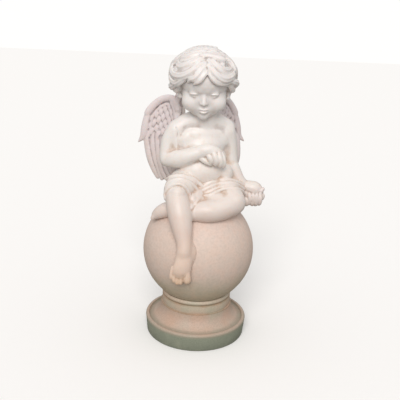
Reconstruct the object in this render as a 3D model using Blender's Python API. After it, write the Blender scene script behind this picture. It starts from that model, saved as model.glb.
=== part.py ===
"""A winged cherub seated on a round garden ball that stands on a turned base.

Three solids: cherub, ball and plinth. The figure is worked up like clay: rounded masses,
tapered limbs and long blades are laid over one another, run together into one skin, smoothed,
and then the smaller forms are laid on. Last it is thinned to facets and bedded on the ball.
"""
import math

import bmesh
import bpy
from mathutils import Euler, Matrix, Vector

# Driving sizes, in metres
BALL_DIAMETER = 0.300
PLINTH_DIAMETER = 0.280
WALL_HEIGHT = 0.0490
LIP_WIDTH = 0.0100
RING_DIAMETER = 0.191
RING_FOOT_HEIGHT = 0.088
SEAT_DIAMETER = 0.178
SEAT_HEIGHT = 0.1245
FIT_GAP = 0.0003

# Facets of the ball and of the turned base
BALL_SEGMENTS = 32
BALL_RINGS = 16
PLINTH_SEGMENTS = 40
CHERUB_TRIANGLES = 6900

# Fits that follow from the driving sizes
BALL_RADIUS = BALL_DIAMETER / 2
BALL_Z = SEAT_HEIGHT + math.sqrt(BALL_RADIUS ** 2 - (SEAT_DIAMETER / 2) ** 2)
UNIT = BALL_DIAMETER / 300
DRAWN_BALL_Z = 245.0
TORSO_TURN = math.radians(15)
HEAD_TILT = math.radians(13)
SKULL = (0, 14, 20)
SKULL_RADII = (66, 76, 62)


def clear_scene():
    for thing in list(bpy.data.objects):
        bpy.data.objects.remove(thing, do_unlink=True)


# Places on the figure: x to the viewer's right, y away, z above the ground, for a 300 mm ball
def spot(x, y, z):
    return Vector((x * UNIT, y * UNIT, BALL_Z + (z - DRAWN_BALL_Z) * UNIT))


def torso(x, y, z):
    """A place drawn on the unturned torso, carried round by the turn of the shoulders."""
    c = math.cos(TORSO_TURN)
    s = math.sin(TORSO_TURN)
    return (x * c - y * s, x * s + y * c, z)


def head(x, y, z):
    """A place drawn on the level head, tipped forward about the neck and set on it."""
    c = math.cos(HEAD_TILT)
    s = math.sin(HEAD_TILT)
    return (x - 1, y * c - z * s - 18, z * c + y * s + 692)


def scalp(around, up, lift):
    """A place over the skull: degrees round from the face, degrees up, and millimetres of lift."""
    a = math.radians(around)
    e = math.radians(up)
    x = SKULL[0] + (SKULL_RADII[0] + lift) * math.cos(e) * math.sin(a)
    y = SKULL[1] - (SKULL_RADII[1] + lift) * math.cos(e) * math.cos(a)
    z = SKULL[2] + (SKULL_RADII[2] + lift) * math.sin(e)
    return head(x, y, z)


def wing(side, s, z, lift=0.0):
    """A place on a wing: s outward from the shoulder blade, z up, lift off its hollow face."""
    root = (-31, 31) if side < 0 else (11.4, 42.4)
    if side > 0:
        s = s * (1 - 0.045 * min(max((z - 550) / 50, 0), 1))
    heading = math.radians(150 if side < 0 else 55)
    out = (math.cos(heading), math.sin(heading))
    face = (out[1] * side, out[0] * -side)
    belly = 13 * math.sin(math.pi * min(max((s - 20) / 150, 0), 1))
    flare = (2 if side < 0 else 16) * min(max((530 - z) / 40, 0), 1)
    d = lift - belly + flare
    return (root[0] + out[0] * s + face[0] * d, root[1] + out[1] * s + face[1] * d, z)


def wing_front(side):
    """The way a wing's hollow face looks."""
    return Vector(wing(side, 60, 0, 1)) - Vector(wing(side, 60, 0, 0))


# Clay tools
def add_mass(clay, centre, radii, turn=(0, 0, 0), detail=3):
    """One rounded mass, its radii in millimetres and its turn in degrees."""
    size = Matrix.Diagonal((radii[0] * UNIT, radii[1] * UNIT, radii[2] * UNIT, 1))
    spin = Euler([math.radians(t) for t in turn]).to_matrix().to_4x4()
    place = Matrix.Translation(spot(*centre)) @ spin @ size
    bmesh.ops.create_icosphere(clay, subdivisions=detail, radius=1, matrix=place)


def between(values, t):
    """A smooth curve through evenly spaced values, at t from 0 to 1."""
    last = len(values) - 1
    at = min(max(t, 0), 1) * last
    i = min(int(at), last - 1)
    f = at - i
    p1 = values[i]
    p2 = values[i + 1]
    p0 = values[i - 1] if i > 0 else p1 * 2 - p2
    p3 = values[i + 2] if i + 2 <= last else p2 * 2 - p1
    a = p1 * 2
    b = (p2 - p0) * f
    c = (p0 * 2 - p1 * 5 + p2 * 4 - p3) * (f * f)
    d = (p1 * 3 - p0 - p2 * 3 + p3) * (f * f * f)
    return (a + b + c + d) * 0.5


def add_limb(clay, stations, thin=1.0, face=(0, -1, 0), sides=14, steps=5, round_ends=True, strands=0,
             groove=0.16):
    """A tapered limb through stations (x, y, z, radius); thin flattens it along face."""
    points = [spot(*s[:3]) for s in stations]
    radii = [s[3] * UNIT for s in stations]
    count = (len(stations) - 1) * steps
    line = [(between(points, i / count), max(between(radii, i / count), 0.0002)) for i in range(count + 1)]
    facing = Vector(face).normalized()
    cap = 3 if round_ends else 0
    rings = []
    for i, (point, radius) in enumerate(line):
        ahead = line[min(i + 1, count)][0] - line[max(i - 1, 0)][0]
        tangent = ahead.normalized()
        if i == 0:
            for k in range(cap, 0, -1):
                a = math.pi / 2 * k / (cap + 0.5)
                rings.append((point - tangent * radius * math.sin(a), radius * math.cos(a), tangent))
        rings.append((point, radius, tangent))
        if i == count:
            for k in range(1, cap + 1):
                a = math.pi / 2 * k / (cap + 0.5)
                rings.append((point + tangent * radius * math.sin(a), radius * math.cos(a), tangent))
    loops = []
    for point, radius, tangent in rings:
        thick = facing - tangent * facing.dot(tangent)
        if thick.length < 0.05:
            thick = Vector((0.3, 0.2, 1)) - tangent * Vector((0.3, 0.2, 1)).dot(tangent)
        thick.normalize()
        wide = tangent.cross(thick)
        loop = []
        for k in range(sides):
            a = 2 * math.pi * k / sides
            r = radius * (1 + groove * math.cos(strands * a)) if strands else radius
            loop.append(clay.verts.new(point + wide * r * math.cos(a) + thick * r * thin * math.sin(a)))
        loops.append(loop)
    for low, high in zip(loops, loops[1:]):
        for k in range(sides):
            n = (k + 1) % sides
            clay.faces.new((low[k], low[n], high[n], high[k]))
    clay.faces.new(loops[0][::-1])
    clay.faces.new(loops[-1])


def run_together(clay, name, voxel, passes):
    """Joins the clay laid so far into one skin of even cells and smooths it."""
    mesh = bpy.data.meshes.new(name)
    bmesh.ops.recalc_face_normals(clay, faces=clay.faces[:])
    clay.to_mesh(mesh)
    clay.free()
    lump = bpy.data.objects.new(name, mesh)
    bpy.context.scene.collection.objects.link(lump)
    skin = lump.modifiers.new("Skin", "REMESH")
    skin.mode = "VOXEL"
    skin.voxel_size = voxel * UNIT
    if passes:
        smooth = lump.modifiers.new("Smooth", "SMOOTH")
        smooth.factor = 0.5
        smooth.iterations = passes
    settle(lump)
    return lump


def settle(thing):
    """Turns what the modifiers show into the object's own mesh."""
    graph = bpy.context.evaluated_depsgraph_get()
    graph.update()
    shown = bpy.data.meshes.new_from_object(thing.evaluated_get(graph), depsgraph=graph)
    old = thing.data
    thing.modifiers.clear()
    thing.data = shown
    bpy.data.meshes.remove(old)


def reopen(lump):
    """Takes a settled lump back as clay, so that more can be laid on it."""
    clay = bmesh.new()
    clay.from_mesh(lump.data)
    bpy.data.objects.remove(lump, do_unlink=True)
    return clay


def press(clay, centre, radius, move):
    """Pushes the skin near a place by a move in millimetres, fading out at the radius."""
    middle = spot(*centre)
    shift = Vector(move) * UNIT
    reach = radius * UNIT
    for v in clay.verts:
        d = (v.co - middle).length / reach
        if d < 1:
            v.co += shift * (1 - d * d) ** 2


# The body
def lay_trunk(clay):
    add_mass(clay, (6, 8, 428), (62, 48, 40), (0, 0, 15))
    add_mass(clay, (36, 34, 412), (36, 34, 30))
    add_mass(clay, (-24, 20, 412), (36, 34, 30))
    add_mass(clay, (6, -26, 420), (56, 40, 28))
    add_mass(clay, (3, -12, 470), (65, 49, 46), (0, 0, 15))
    add_mass(clay, (2, -2, 504), (63, 46, 44), (0, 0, 15))
    add_mass(clay, (2, 2, 538), (62, 44, 42), (0, 0, 15))
    add_mass(clay, (1, 4, 564), (69, 38, 31), (0, 0, 15))
    for side in (-1, 1):
        add_mass(clay, torso(side * 26, -20, 550), (36, 11, 28), (0, 0, 15))
        add_mass(clay, torso(side * 32, 28, 552), (26, 15, 30), (0, 0, 15))
    add_limb(clay, [(-60, -5, 583, 23), (-32, -1, 595, 26), (2, 2, 600, 30), (34, 10, 593, 25),
                    (62, 17, 581, 21)])
    add_limb(clay, [(4, 10, 584, 38), (2, 4, 612, 37), (1, -4, 640, 35)])
    add_mass(clay, (-1, 22, 632), (35, 30, 30))


def lay_arms(clay):
    add_limb(clay, [(-61, -8, 575, 27), (-78, -12, 548, 23.5), (-87, -16, 518, 22), (-87, -22, 497, 22)])
    add_limb(clay, [(-87, -22, 496, 21.5), (-66, -36, 502, 23), (-40, -48, 512, 21), (-8, -54, 526, 17.5)])
    add_limb(clay, [(-52, -14, 556, 15), (-57, -18, 535, 13), (-58, -22, 515, 12)])
    add_limb(clay, [(60, 16, 570, 26), (68, 19, 545, 23), (73, 20, 515, 21), (77, 18, 486, 19.5)])
    add_limb(clay, [(76, 17, 486, 19), (87, 12, 463, 19.5), (101, 6, 440, 17), (118, 5, 424, 15.5)])


def lay_legs(clay):
    add_limb(clay, [(-28, 4, 428, 43), (-44, -34, 431, 40), (-57, -68, 428, 33), (-61, -88, 419, 30)])
    add_limb(clay, [(-60, -90, 418, 30), (-53, -109, 391, 32), (-45, -126, 356, 29), (-36, -147, 312, 20.5),
                    (-36, -153, 292, 20.5)])
    add_mass(clay, (-58, -104, 421), (21, 17, 20))
    add_limb(clay, [(-35, -151, 298, 21), (-36, -160, 268, 23), (-41, -157, 240, 26), (-43, -152, 222, 23)],
             thin=0.66, face=(0.1, -1, -0.2))
    add_limb(clay, [(-20, -140, 306, 12), (-13, -140, 286, 15), (-18, -143, 264, 12)])
    add_limb(clay, [(34, 22, 418, 44), (60, -16, 411, 40), (80, -48, 403, 36), (86, -58, 398, 34)])
    add_limb(clay, [(84, -60, 396, 33), (52, -82, 386, 31), (14, -94, 382, 29), (-28, -86, 380, 25),
                    (-62, -66, 374, 21)])
    add_mass(clay, (38, -60, 400), (44, 32, 28), (0, 0, -20))
    add_mass(clay, (91, -72, 404), (21, 18, 22))
    add_limb(clay, [(-60, -66, 376, 21), (-85, -58, 371, 23), (-104, -53, 361, 20), (-113, -50, 354, 16)],
             thin=0.85, face=(-0.5, -0.3, 0.8))


def lay_toes(clay):
    big = ((-26, 213, 11.5), (-43.5, 203, 6.2), (-54.5, 201, 5.6), (-63.5, 206, 5.2), (-71, 213, 4.7))
    for x, z, r in big:
        y = -math.sqrt(159 ** 2 - x ** 2 - (DRAWN_BALL_Z - z) ** 2)
        add_limb(clay, [(x * 0.8 - 7, y - 9, z + 24, r), (x, y - 6, z + 11, r), (x, y - 1, z, r * 1.02),
                        (x, y + 2, z - 1.5, r * 0.8)], sides=14, steps=4)
    for i in range(4):
        add_limb(clay, [(-108 - i, -58 + 7 * i, 358 - 1.5 * i, 7.5), (-118, -56 + 6.5 * i, 350 - i, 7),
                        (-123, -54 + 6 * i, 344 - i, 6)], sides=12, steps=4)


# The right hand closed on the chest, and the left one closed over a gathered end of the cloth
FIST = (
    ((2, -56, 536, 7.6), (11, -63, 533, 7.8), (18, -68, 520, 7.2), (23, -67, 509, 7.0), (21, -58, 502, 6.4),
     (15, -52, 506, 5.4)),
    ((14, -56, 541, 7.6), (25, -64, 537, 7.8), (32, -70, 522, 7.2), (37, -69, 509, 7.0), (35, -60, 500, 6.4),
     (29, -53, 504, 5.4)),
    ((28, -55, 540, 7.4), (39, -62, 534, 7.6), (46, -68, 518, 7.0), (50, -66, 504, 6.8), (48, -58, 496, 6.2),
     (42, -52, 501, 5.4)),
    ((39, -51, 533, 7.0), (49, -57, 527, 7.0), (55, -61, 513, 6.3), (58, -60, 501, 6.1), (56, -53, 494, 5.6),
     (50, -48, 499, 5)),
)


def lay_hands(clay):
    add_limb(clay, [(-10, -55, 525, 17.5), (4, -57, 531, 17), (20, -57, 534, 16), (35, -52, 529, 13)],
             thin=0.8)
    add_limb(clay, [(-8, -56, 518, 8), (3, -60, 510, 7.6), (13, -62, 504, 6.6), (22, -60, 499, 5.4)],
             sides=14)
    add_mass(clay, (28, -52, 514), (27, 14, 15))
    for finger in FIST:
        add_limb(clay, finger, sides=14, steps=5)
    add_limb(clay, [(116, 5, 425, 16.5), (130, 7, 421, 18.5), (145, 8, 416, 20.5), (154, 8, 404, 16)])
    for i in range(4):
        x = 131 + i * 9.4
        drop = 2.5 * math.sin(math.pi * i / 3)
        add_limb(clay, [(x - 1, -5, 409 + drop, 6.0), (x + 1, -11, 396, 6.2), (x, -9, 383 - drop, 5.6),
                        (x - 1, -2, 378 - drop, 5.2)], sides=12, steps=4)
    add_mass(clay, (140, 4, 394), (22, 14, 18))
    add_mass(clay, (122, 4, 404), (14, 16, 18))
    add_mass(clay, (124, 0, 390), (13, 14, 15))
    add_limb(clay, [(150, 0, 413, 8), (161, -2, 415, 7), (166, -2, 420, 5.5)], sides=12, steps=4)
    add_limb(clay, [(162, 0, 406, 5), (168, -2, 402, 5), (166, -3, 394, 5)], sides=12, steps=3)


# The cloth: sleeves over both thighs, a band round the seat, a hanging end and raised folds
def lay_cloth(clay):
    add_limb(clay, [(-24, 6, 428, 47), (-41, -32, 432, 45.5), (-53, -60, 430, 40.5), (-58, -77, 427, 37),
                    (-59, -90, 424, 34)],
             round_ends=False, sides=28)
    add_limb(clay, [(34, 24, 418, 49), (54, -6, 414, 46.5), (68, -28, 411, 43), (77, -42, 408, 40)],
             round_ends=False, sides=28)
    add_mass(clay, (8, 14, 424), (68, 52, 38), (0, 0, 15))
    add_mass(clay, (6, -22, 422), (56, 42, 28), (0, 0, 15))
    add_mass(clay, (100, 20, 402), (34, 26, 28))
    add_limb(clay, [(108, 22, 408, 20), (126, 20, 402, 19), (144, 16, 392, 16)])


# Each fold is a ridge: places along it and its thickness
LEFT_FOLDS = (
    ((-90, -46, 450, 4.5), (-76, -63, 462, 5.5), (-50, -69, 467, 6), (-24, -65, 459, 6), (-9, -59, 449, 5.5),
     (5, -56, 437, 5)),
    ((-89, -84, 442, 4), (-78, -83, 455, 4.5), (-56, -83, 463, 4.5), (-33, -80, 456, 4.5),
     (-17, -74, 443, 4.5),
     (-4, -68, 426, 4)),
)
RIGHT_FOLDS = (
    ((6, -56, 437, 4.5), (24, -50, 447, 5.5), (45, -39, 450, 6), (68, -37, 452, 6), (93, -24, 445, 5.5),
     (112, -8, 432, 5)),
    ((6, -63, 429, 4), (24, -55, 437, 4.5), (45, -46, 443, 4.5), (68, -47, 448, 4.5), (92, -39, 443, 4.5),
     (115, -11, 422, 4)),
    ((9, -67, 421, 3.5), (27, -62, 429, 4), (46, -54, 435, 4), (66, -55, 441, 4), (90, -45, 437, 4),
     (113, -14, 417, 4)),
)
LEFT_HEM = ((-88, -97, 413), (-90, -91, 425), (-85, -93, 437), (-73, -95, 448), (-57, -97, 454),
            (-42, -97, 449),
            (-32, -94, 436), (-27, -92, 421), (-25, -101, 408), (-21, -114, 397))
RIGHT_HEM = ((5, -72, 414), (16, -73, 418), (27, -74, 422), (42, -67, 428), (56, -62, 433), (72, -59, 436),
             (94, -52, 434), (109, -30, 421), (117, -14, 408), (120, 2, 394))
PLEATS = (
    ((-2, -66, 424, 4.5), (-12, -88, 411, 5.5), (-19, -110, 399, 4)),
    ((0, -68, 424, 4.5), (-6, -87, 413, 5.5), (-12, -104, 404, 4)),
    ((3, -70, 421, 4.5), (1, -80, 412, 5), (-4, -92, 404, 4)),
)


def lay_folds(clay):
    for fold in LEFT_FOLDS + RIGHT_FOLDS:
        add_limb(clay, fold, thin=0.8, face=(0, -0.7, 0.7), sides=12)
    for hem in (LEFT_HEM, RIGHT_HEM):
        add_limb(clay, [(*place, 4.4) for place in hem], sides=12, steps=4)
    add_limb(clay, [(0, -62, 425, 10), (-8, -80, 414, 15), (-16, -98, 402, 12)], thin=0.7)
    add_mass(clay, (2, -74, 405), (13, 14, 14))
    add_mass(clay, (-19, -84, 408), (13, 18, 18))
    for pleat in PLEATS:
        add_limb(clay, pleat, sides=12, steps=5)


def lay_knees(clay):
    add_mass(clay, (-57, -100, 428), (21, 18.5, 19))
    add_mass(clay, (-54, -113, 405), (13, 15, 10))
    add_mass(clay, (91, -66, 408), (22, 18, 20))


# Wings: a rolled front edge that ends in a point, a thin hollow blade and rows of feathers
def add_feather(clay, side, start, end, width, lift, thin):
    stations = []
    for k in range(5):
        t = k / 4
        s = start[0] + (end[0] - start[0]) * t
        z = start[1] + (end[1] - start[1]) * t
        bow = 0.06 * (start[1] - end[1]) * math.sin(math.pi * t)
        stations.append((*wing(side, s + bow, z, lift), width * (0.55, 0.85, 1.0, 0.95, 0.6)[k]))
    add_limb(clay, stations, thin=thin, face=wing_front(side), sides=12, steps=3)


def lay_wing_blade(clay, side):
    rows = ((30, 462, 566), (48, 448, 628), (68, 436, 634), (88, 426, 630), (106, 430, 616), (120, 456, 598),
            (134, 496, 572))
    front = wing_front(side)
    for s, low, high in rows:
        steps = [(*wing(side, s, low + (high - low) * t, 0), 13) for t in (0, 0.33, 0.66, 1)]
        add_limb(clay, steps, thin=0.46, face=front, sides=12)
    add_limb(clay, [(*wing(side, 16, 540, 4), 13), (*wing(side, 36, 568, 5), 12),
                    (*wing(side, 41, 592, 5), 12),
                    (*wing(side, 46, 614, 5), 12), (*wing(side, 56, 631, 6), 12)], thin=0.8, face=front)
    add_limb(clay, [(*wing(side, 0, 520, 0), 17), (*wing(side, 24, 530, 0), 16),
                    (*wing(side, 52, 540, 0), 12)],
             thin=0.8, face=front)


# The rolled front edge: two long scales, the lower one ending in a point
EDGE_SCALES = (
    ((137, 598, 10), (145, 574, 11.5), (150, 549, 12), (155, 526, 9.5), (163, 514, 5), (168, 508, 1.6)),
    ((44, 616, 9), (53, 634, 11), (72, 640, 10), (97, 635, 9.5), (119, 620, 10), (135, 602, 10.5),
     (142, 592, 9.5)),
)
# The long flight feathers: outer ones first
FLIGHTS = (
    ((145, 540, 9), (144, 510, 9), (135, 468, 9), (121, 436, 8.4), (108, 415, 6.4)),
    ((128, 545, 8), (127, 512, 7.8), (119, 470, 7.4), (106, 434, 7), (95, 412, 5.8)),
    ((111, 545, 8), (111, 515, 7.8), (106, 472, 7.2), (94, 436, 6.8), (82, 416, 5.6)),
    ((95, 545, 8), (96, 515, 7.5), (93, 472, 7), (81, 443, 6.4), (70, 426, 5.4)),
    ((79, 545, 8), (80, 515, 7.5), (79, 478, 7), (69, 452, 6.4), (59, 436, 5.2)),
    ((63, 545, 8), (65, 515, 7.5), (66, 485, 7), (58, 464, 6), (50, 450, 5)),
    ((48, 545, 8), (51, 515, 7.5), (54, 492, 7), (48, 474, 6), (41, 464, 4.5)),
)


def lay_primaries(clay, side):
    front = wing_front(side)
    for i, feather in enumerate(FLIGHTS):
        spread = 7 if side > 0 else 0
        for lift in (5.5 - 0.5 * (i % 2), -5):
            stations = []
            for s, z, r in feather:
                wide = spread * min(max((530 - z) / 90, 0), 1) * (1 - i / 9)
                stations.append((*wing(side, s + wide, z, lift), r))
            add_limb(clay, stations, thin=0.5, face=front, sides=14, steps=5)
    for k, scale in enumerate(EDGE_SCALES):
        stations = [(*wing(side, s, z, 5 + 2.5 * k), r) for s, z, r in scale]
        add_limb(clay, stations, thin=0.72, face=front, sides=16, steps=5)


def lay_coverts(clay, side):
    for row in range(5):
        for i in range(5):
            s = 58 + 14.5 * i + 4.5 * row
            z = 612 - 17 * row + 5 * math.sin(1.9 * i + row) - 3 * i
            if s < 133 and z + 0.55 * s < 672:
                add_feather(clay, side, (s - 5, z + 13), (s + 4, z - 12), 7.2, 6.5 - 0.9 * row, thin=0.5)
    for row in range(5):
        for i in range(6):
            s = 44 + 15 * i + 5 * (row % 2)
            z = 606 - 19 * row - 2 * i
            if s < 134 and z + 0.6 * s < 676:
                add_feather(clay, side, (s - 2, z + 15), (s + 3, z - 13), 8.5, -8.5 + 0.6 * row, thin=0.42)


# The head, with a child's proportions of the builder's own
def lay_skull(clay):
    add_mass(clay, head(*SKULL), SKULL_RADII, (math.degrees(HEAD_TILT), 0, 0))
    add_mass(clay, head(0, -16, 22), (54, 46, 42))
    add_mass(clay, head(0, -11, -18), (57, 47, 42))
    add_mass(clay, head(0, -15, -50), (42, 40, 27))
    add_mass(clay, head(0, -42, -64), (16, 13, 12))
    add_mass(clay, head(0, -44, -42), (21, 14, 18))
    for side in (-1, 1):
        add_mass(clay, head(side * 28, -28, -33), (29, 28, 27))


def press_face(clay):
    for side in (-1, 1):
        press(clay, head(side * 23, -58, -3), 21, (0, 5.5, 0))
    press(clay, head(0, -62, 1), 14, (0, 2, 0))


def lay_face(clay):
    add_limb(clay, [(*head(0, -53, 4), 4.6), (*head(0, -55, -7), 4.4), (*head(0, -59, -17), 5.2),
                    (*head(0, -61.5, -24.5), 6.4)], sides=14)
    for side in (-1, 1):
        add_mass(clay, head(side * 6, -57.5, -26.5), (4.6, 5.6, 4.2))
        add_mass(clay, head(side * 24, -40.5, -4.5), (13, 13, 13))


def lay_ears(clay):
    for side in (-1, 1):
        rim = []
        for k in range(7):
            a = math.radians(-80 + 42 * k)
            rim.append((*head(side * (63 + 3 * math.cos(a)), 6 + 9 * math.cos(a), -14 + 16 * math.sin(a)),
                        3.6))
        add_limb(clay, rim, sides=10)
        add_mass(clay, head(side * 59, 4, -16), (7, 10, 16))
        add_mass(clay, head(side * 60, 0, -31), (7, 7.5, 7.5))


def eye_arc(side, high, reach, width=12.0):
    """Places along an eyelid's edge, over the ball of the eye."""
    arc = []
    for k in range(7):
        dx = width * (k / 3 - 1)
        dz = high * math.cos(math.pi / 2 * (k / 3 - 1)) - 0.8
        arc.append(head(side * (24 + dx), -40.5 - math.sqrt(reach ** 2 - dx * dx - dz * dz), -4.5 + dz))
    return arc


def lay_features(clay):
    for side in (-1, 1):
        add_limb(clay, [(*place, r) for place, r in zip(eye_arc(side, 5.2, 13.6),
                                                        (1.2, 1.9, 2.2, 2.3, 2.2, 1.9, 1.2))],
                 sides=10, steps=4)
        add_limb(clay, [(*place, r) for place, r in zip(eye_arc(side, -5.4, 13.2),
                                                        (1.0, 1.4, 1.6, 1.7, 1.6, 1.4, 1.0))],
                 sides=10, steps=4)
        add_limb(clay, [(*head(0, -58.5, -42.5), 2.6), (*head(side * 4.5, -58.6, -41.4), 2.9),
                        (*head(side * 9, -56, -43.4), 2.2), (*head(side * 13, -53, -45.6), 1.2)],
                 sides=10, steps=4)
    add_limb(clay, [(*head(-11, -53.5, -47), 1.6), (*head(-5, -57, -49), 3.2), (*head(0, -57.8, -49.6), 3.5),
                    (*head(5, -57, -49), 3.2), (*head(11, -53.5, -47), 1.6)], sides=10, steps=5)


# Hair: a cap of wavy locks that fall to both sides of a parting, with curls round the ears
def add_lock(clay, places, width, shape=(0.55, 0.95, 1.0, 0.85, 0.3)):
    last = len(places) - 1
    stations = []
    for k, (around, up, lift) in enumerate(places):
        at = 4 * k / last
        low = min(int(at), 3)
        size = shape[low] + (shape[low + 1] - shape[low]) * (at - low)
        stations.append((*scalp(around, up, lift), width * size))
    middle = Vector(scalp(places[last // 2][0], places[last // 2][1], 0)) - Vector(head(*SKULL))
    add_limb(clay, stations, thin=0.72, face=middle, sides=30, steps=6, strands=7, groove=0.12)


def lay_hair_cap(clay):
    add_mass(clay, head(0, 20, 18), (69, 80, 58), (math.degrees(HEAD_TILT), 0, 0))
    for side in (-1, 1):
        add_mass(clay, head(side * 56 - 3, 22, 2 + 3 * side), (24, 42, 30))
    add_mass(clay, head(-61, 14, 13), (11, 26, 20))
    add_mass(clay, head(58, 14, 13), (11, 26, 20))
    add_mass(clay, head(0, 50, -8), (58, 42, 42))
    add_mass(clay, head(0, 46, -28), (50, 36, 32))


# Each lock of the front: degrees round, degrees up and lift at five places, then its width
FRONT_LOCKS = (
    (((0, 86, -2), (-40, 78, 2), (-74, 66, 3), (-90, 50, 4), (-98, 36, 5)), 13),
    (((-4, 74, -3), (-40, 67, 2), (-66, 53, 5), (-84, 38, 8), (-95, 24, 8)), 12.5),
    (((-1, 63, -2), (-22, 55, 3), (-42, 42, 6), (-64, 29, 8), (-86, 22, 9), (-94, 12, 8)), 12),
    (((1, 54, -1), (-12, 44, 4), (-27, 31, 7), (-46, 18, 9), (-68, 8, 15), (-84, 8, 20), (-88, 16, 20)),
     10.5),
    (((4, 45, 0), (-8, 34, 5), (-19, 22, 7), (-28, 12, 7), (-36, 4, 5)), 8.5),
    (((6, 37, 1), (-1, 26, 5), (-10, 15, 6), (-17, 8, 5), (-24, 2, 4)), 6.5),
    (((-30, 24, 2), (-45, 10, 6), (-62, -2, 12), (-76, -6, 20), (-84, 0, 24)), 10),
    (((-52, 6, 3), (-66, -8, 12), (-79, -14, 22), (-84, -21, 24), (-78, -28, 20)), 10),
    (((-60, -6, 2), (-70, -17, 10), (-76, -25, 18), (-72, -31, 18)), 9),
    (((12, 86, -2), (60, 78, 0), (84, 64, -2), (92, 50, -3), (98, 38, -3)), 12.5),
    (((13, 74, -2), (40, 66, 2), (54, 53, 3), (70, 41, 2), (88, 28, 0)), 12),
    (((11, 61, -2), (22, 49, 4), (36, 36, 7), (54, 27, 5), (76, 20, 2), (86, 26, 0)), 11.5),
    (((9, 48, 0), (16, 34, 5), (30, 21, 8), (50, 13, 9), (72, 9, 9), (84, 14, 8)), 10.5),
    (((8, 38, 1), (12, 26, 4), (22, 14, 6), (38, 6, 6), (58, 2, 8), (74, 2, 11)), 8),
    (((46, 8, 3), (64, 0, 9), (80, -5, 15), (84, -13, 18), (78, -20, 15)), 9),
    (((54, -4, 2), (68, -13, 8), (78, -21, 15), (74, -28, 13)), 8.5),
)
CURL = ((28, 56, 5), (42, 60, 6), (54, 54, 7), (54, 44, 8), (42, 40, 8), (34, 47, 7))


def lay_hair(clay):
    for places, width in FRONT_LOCKS:
        add_lock(clay, places, width)
    add_lock(clay, CURL, 6.5, (0.6, 0.9, 1.0, 0.9, 0.6))
    add_mass(clay, scalp(42, 50, 1), (9, 9, 9))
    for side in (-1, 1):
        for i in range(6):
            around = side * (96 + 17 * i)
            out = (7 if side < 0 else 0) * (1 - i / 5)
            add_lock(clay, [(around - side * 8, 26, 5 - 3 * side), (around + side * 6, 10, 9 + out),
                            (around - side * 5, -6, 9 + out), (around + side * 6, -20, 10 + out),
                            (around - side * 2, -31, 6 + out), (around + side * 6, -38, 3)], 12.5)
        for i in range(6):
            around = side * (88 + 18 * i)
            sink = 5 if side > 0 and i < 3 else 0
            add_lock(clay, [(around - side * 24, 76 - 3 * i, -3), (around - side * 6, 62, 1 - sink),
                            (around - side * 12, 48, 3 - sink), (around + side * 4, 33, 6 - sink),
                            (around - side * 6, 17, 7 - sink)], 13)
    for i in range(5):
        around = 125 + 28 * i
        add_lock(clay, [(around - 40, 88, -4), (around - 14, 78, -2), (around, 66, 0),
                        (around + 9, 54, 1)], 12)


def build_cherub():
    clay = bmesh.new()
    lay_trunk(clay)
    lay_arms(clay)
    lay_legs(clay)
    lay_skull(clay)
    clay = reopen(run_together(clay, "masses", 3.0, 20))
    press_face(clay)
    lay_face(clay)
    lay_cloth(clay)
    lay_hair_cap(clay)
    for side in (-1, 1):
        lay_wing_blade(clay, side)
    clay = reopen(run_together(clay, "forms", 2.2, 4))
    lay_toes(clay)
    lay_hands(clay)
    lay_folds(clay)
    lay_knees(clay)
    lay_ears(clay)
    lay_features(clay)
    lay_hair(clay)
    for side in (-1, 1):
        lay_primaries(clay, side)
        lay_coverts(clay, side)
    cherub = run_together(clay, "cherub", 1.8, 2)
    thin = cherub.modifiers.new("Facets", "DECIMATE")
    thin.decimate_type = "COLLAPSE"
    faces = sum(len(p.vertices) - 2 for p in cherub.data.polygons)
    thin.ratio = CHERUB_TRIANGLES / faces
    thin.use_collapse_triangulate = True
    settle(cherub)
    return cherub


# The ball, and the same ball a fit gap larger for cutting its seats
def make_ball(name, radius):
    clay = bmesh.new()
    place = Matrix.Translation((0, 0, BALL_Z))
    bmesh.ops.create_uvsphere(clay, u_segments=BALL_SEGMENTS, v_segments=BALL_RINGS, radius=radius,
                              matrix=place)
    mesh = bpy.data.meshes.new(name)
    clay.to_mesh(mesh)
    clay.free()
    ball = bpy.data.objects.new(name, mesh)
    bpy.context.scene.collection.objects.link(ball)
    return ball


def bed_on_ball(thing, cutter):
    bed = thing.modifiers.new("Bed", "BOOLEAN")
    bed.operation = "DIFFERENCE"
    bed.solver = "EXACT"
    bed.object = cutter
    settle(thing)


def keep_largest(thing):
    """Drops loose crumbs that a cut leaves, keeping the one body."""
    clay = bmesh.new()
    clay.from_mesh(thing.data)
    left = set(clay.verts)
    bodies = []
    while left:
        body = {left.pop()}
        edge = list(body)
        while edge:
            v = edge.pop()
            for link in v.link_edges:
                other = link.other_vert(v)
                if other in left:
                    left.discard(other)
                    body.add(other)
                    edge.append(other)
        bodies.append(body)
    bodies.sort(key=len)
    loose = [v for body in bodies[:-1] for v in body]
    bmesh.ops.delete(clay, geom=loose, context="VERTS")
    clay.to_mesh(thing.data)
    clay.free()


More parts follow.
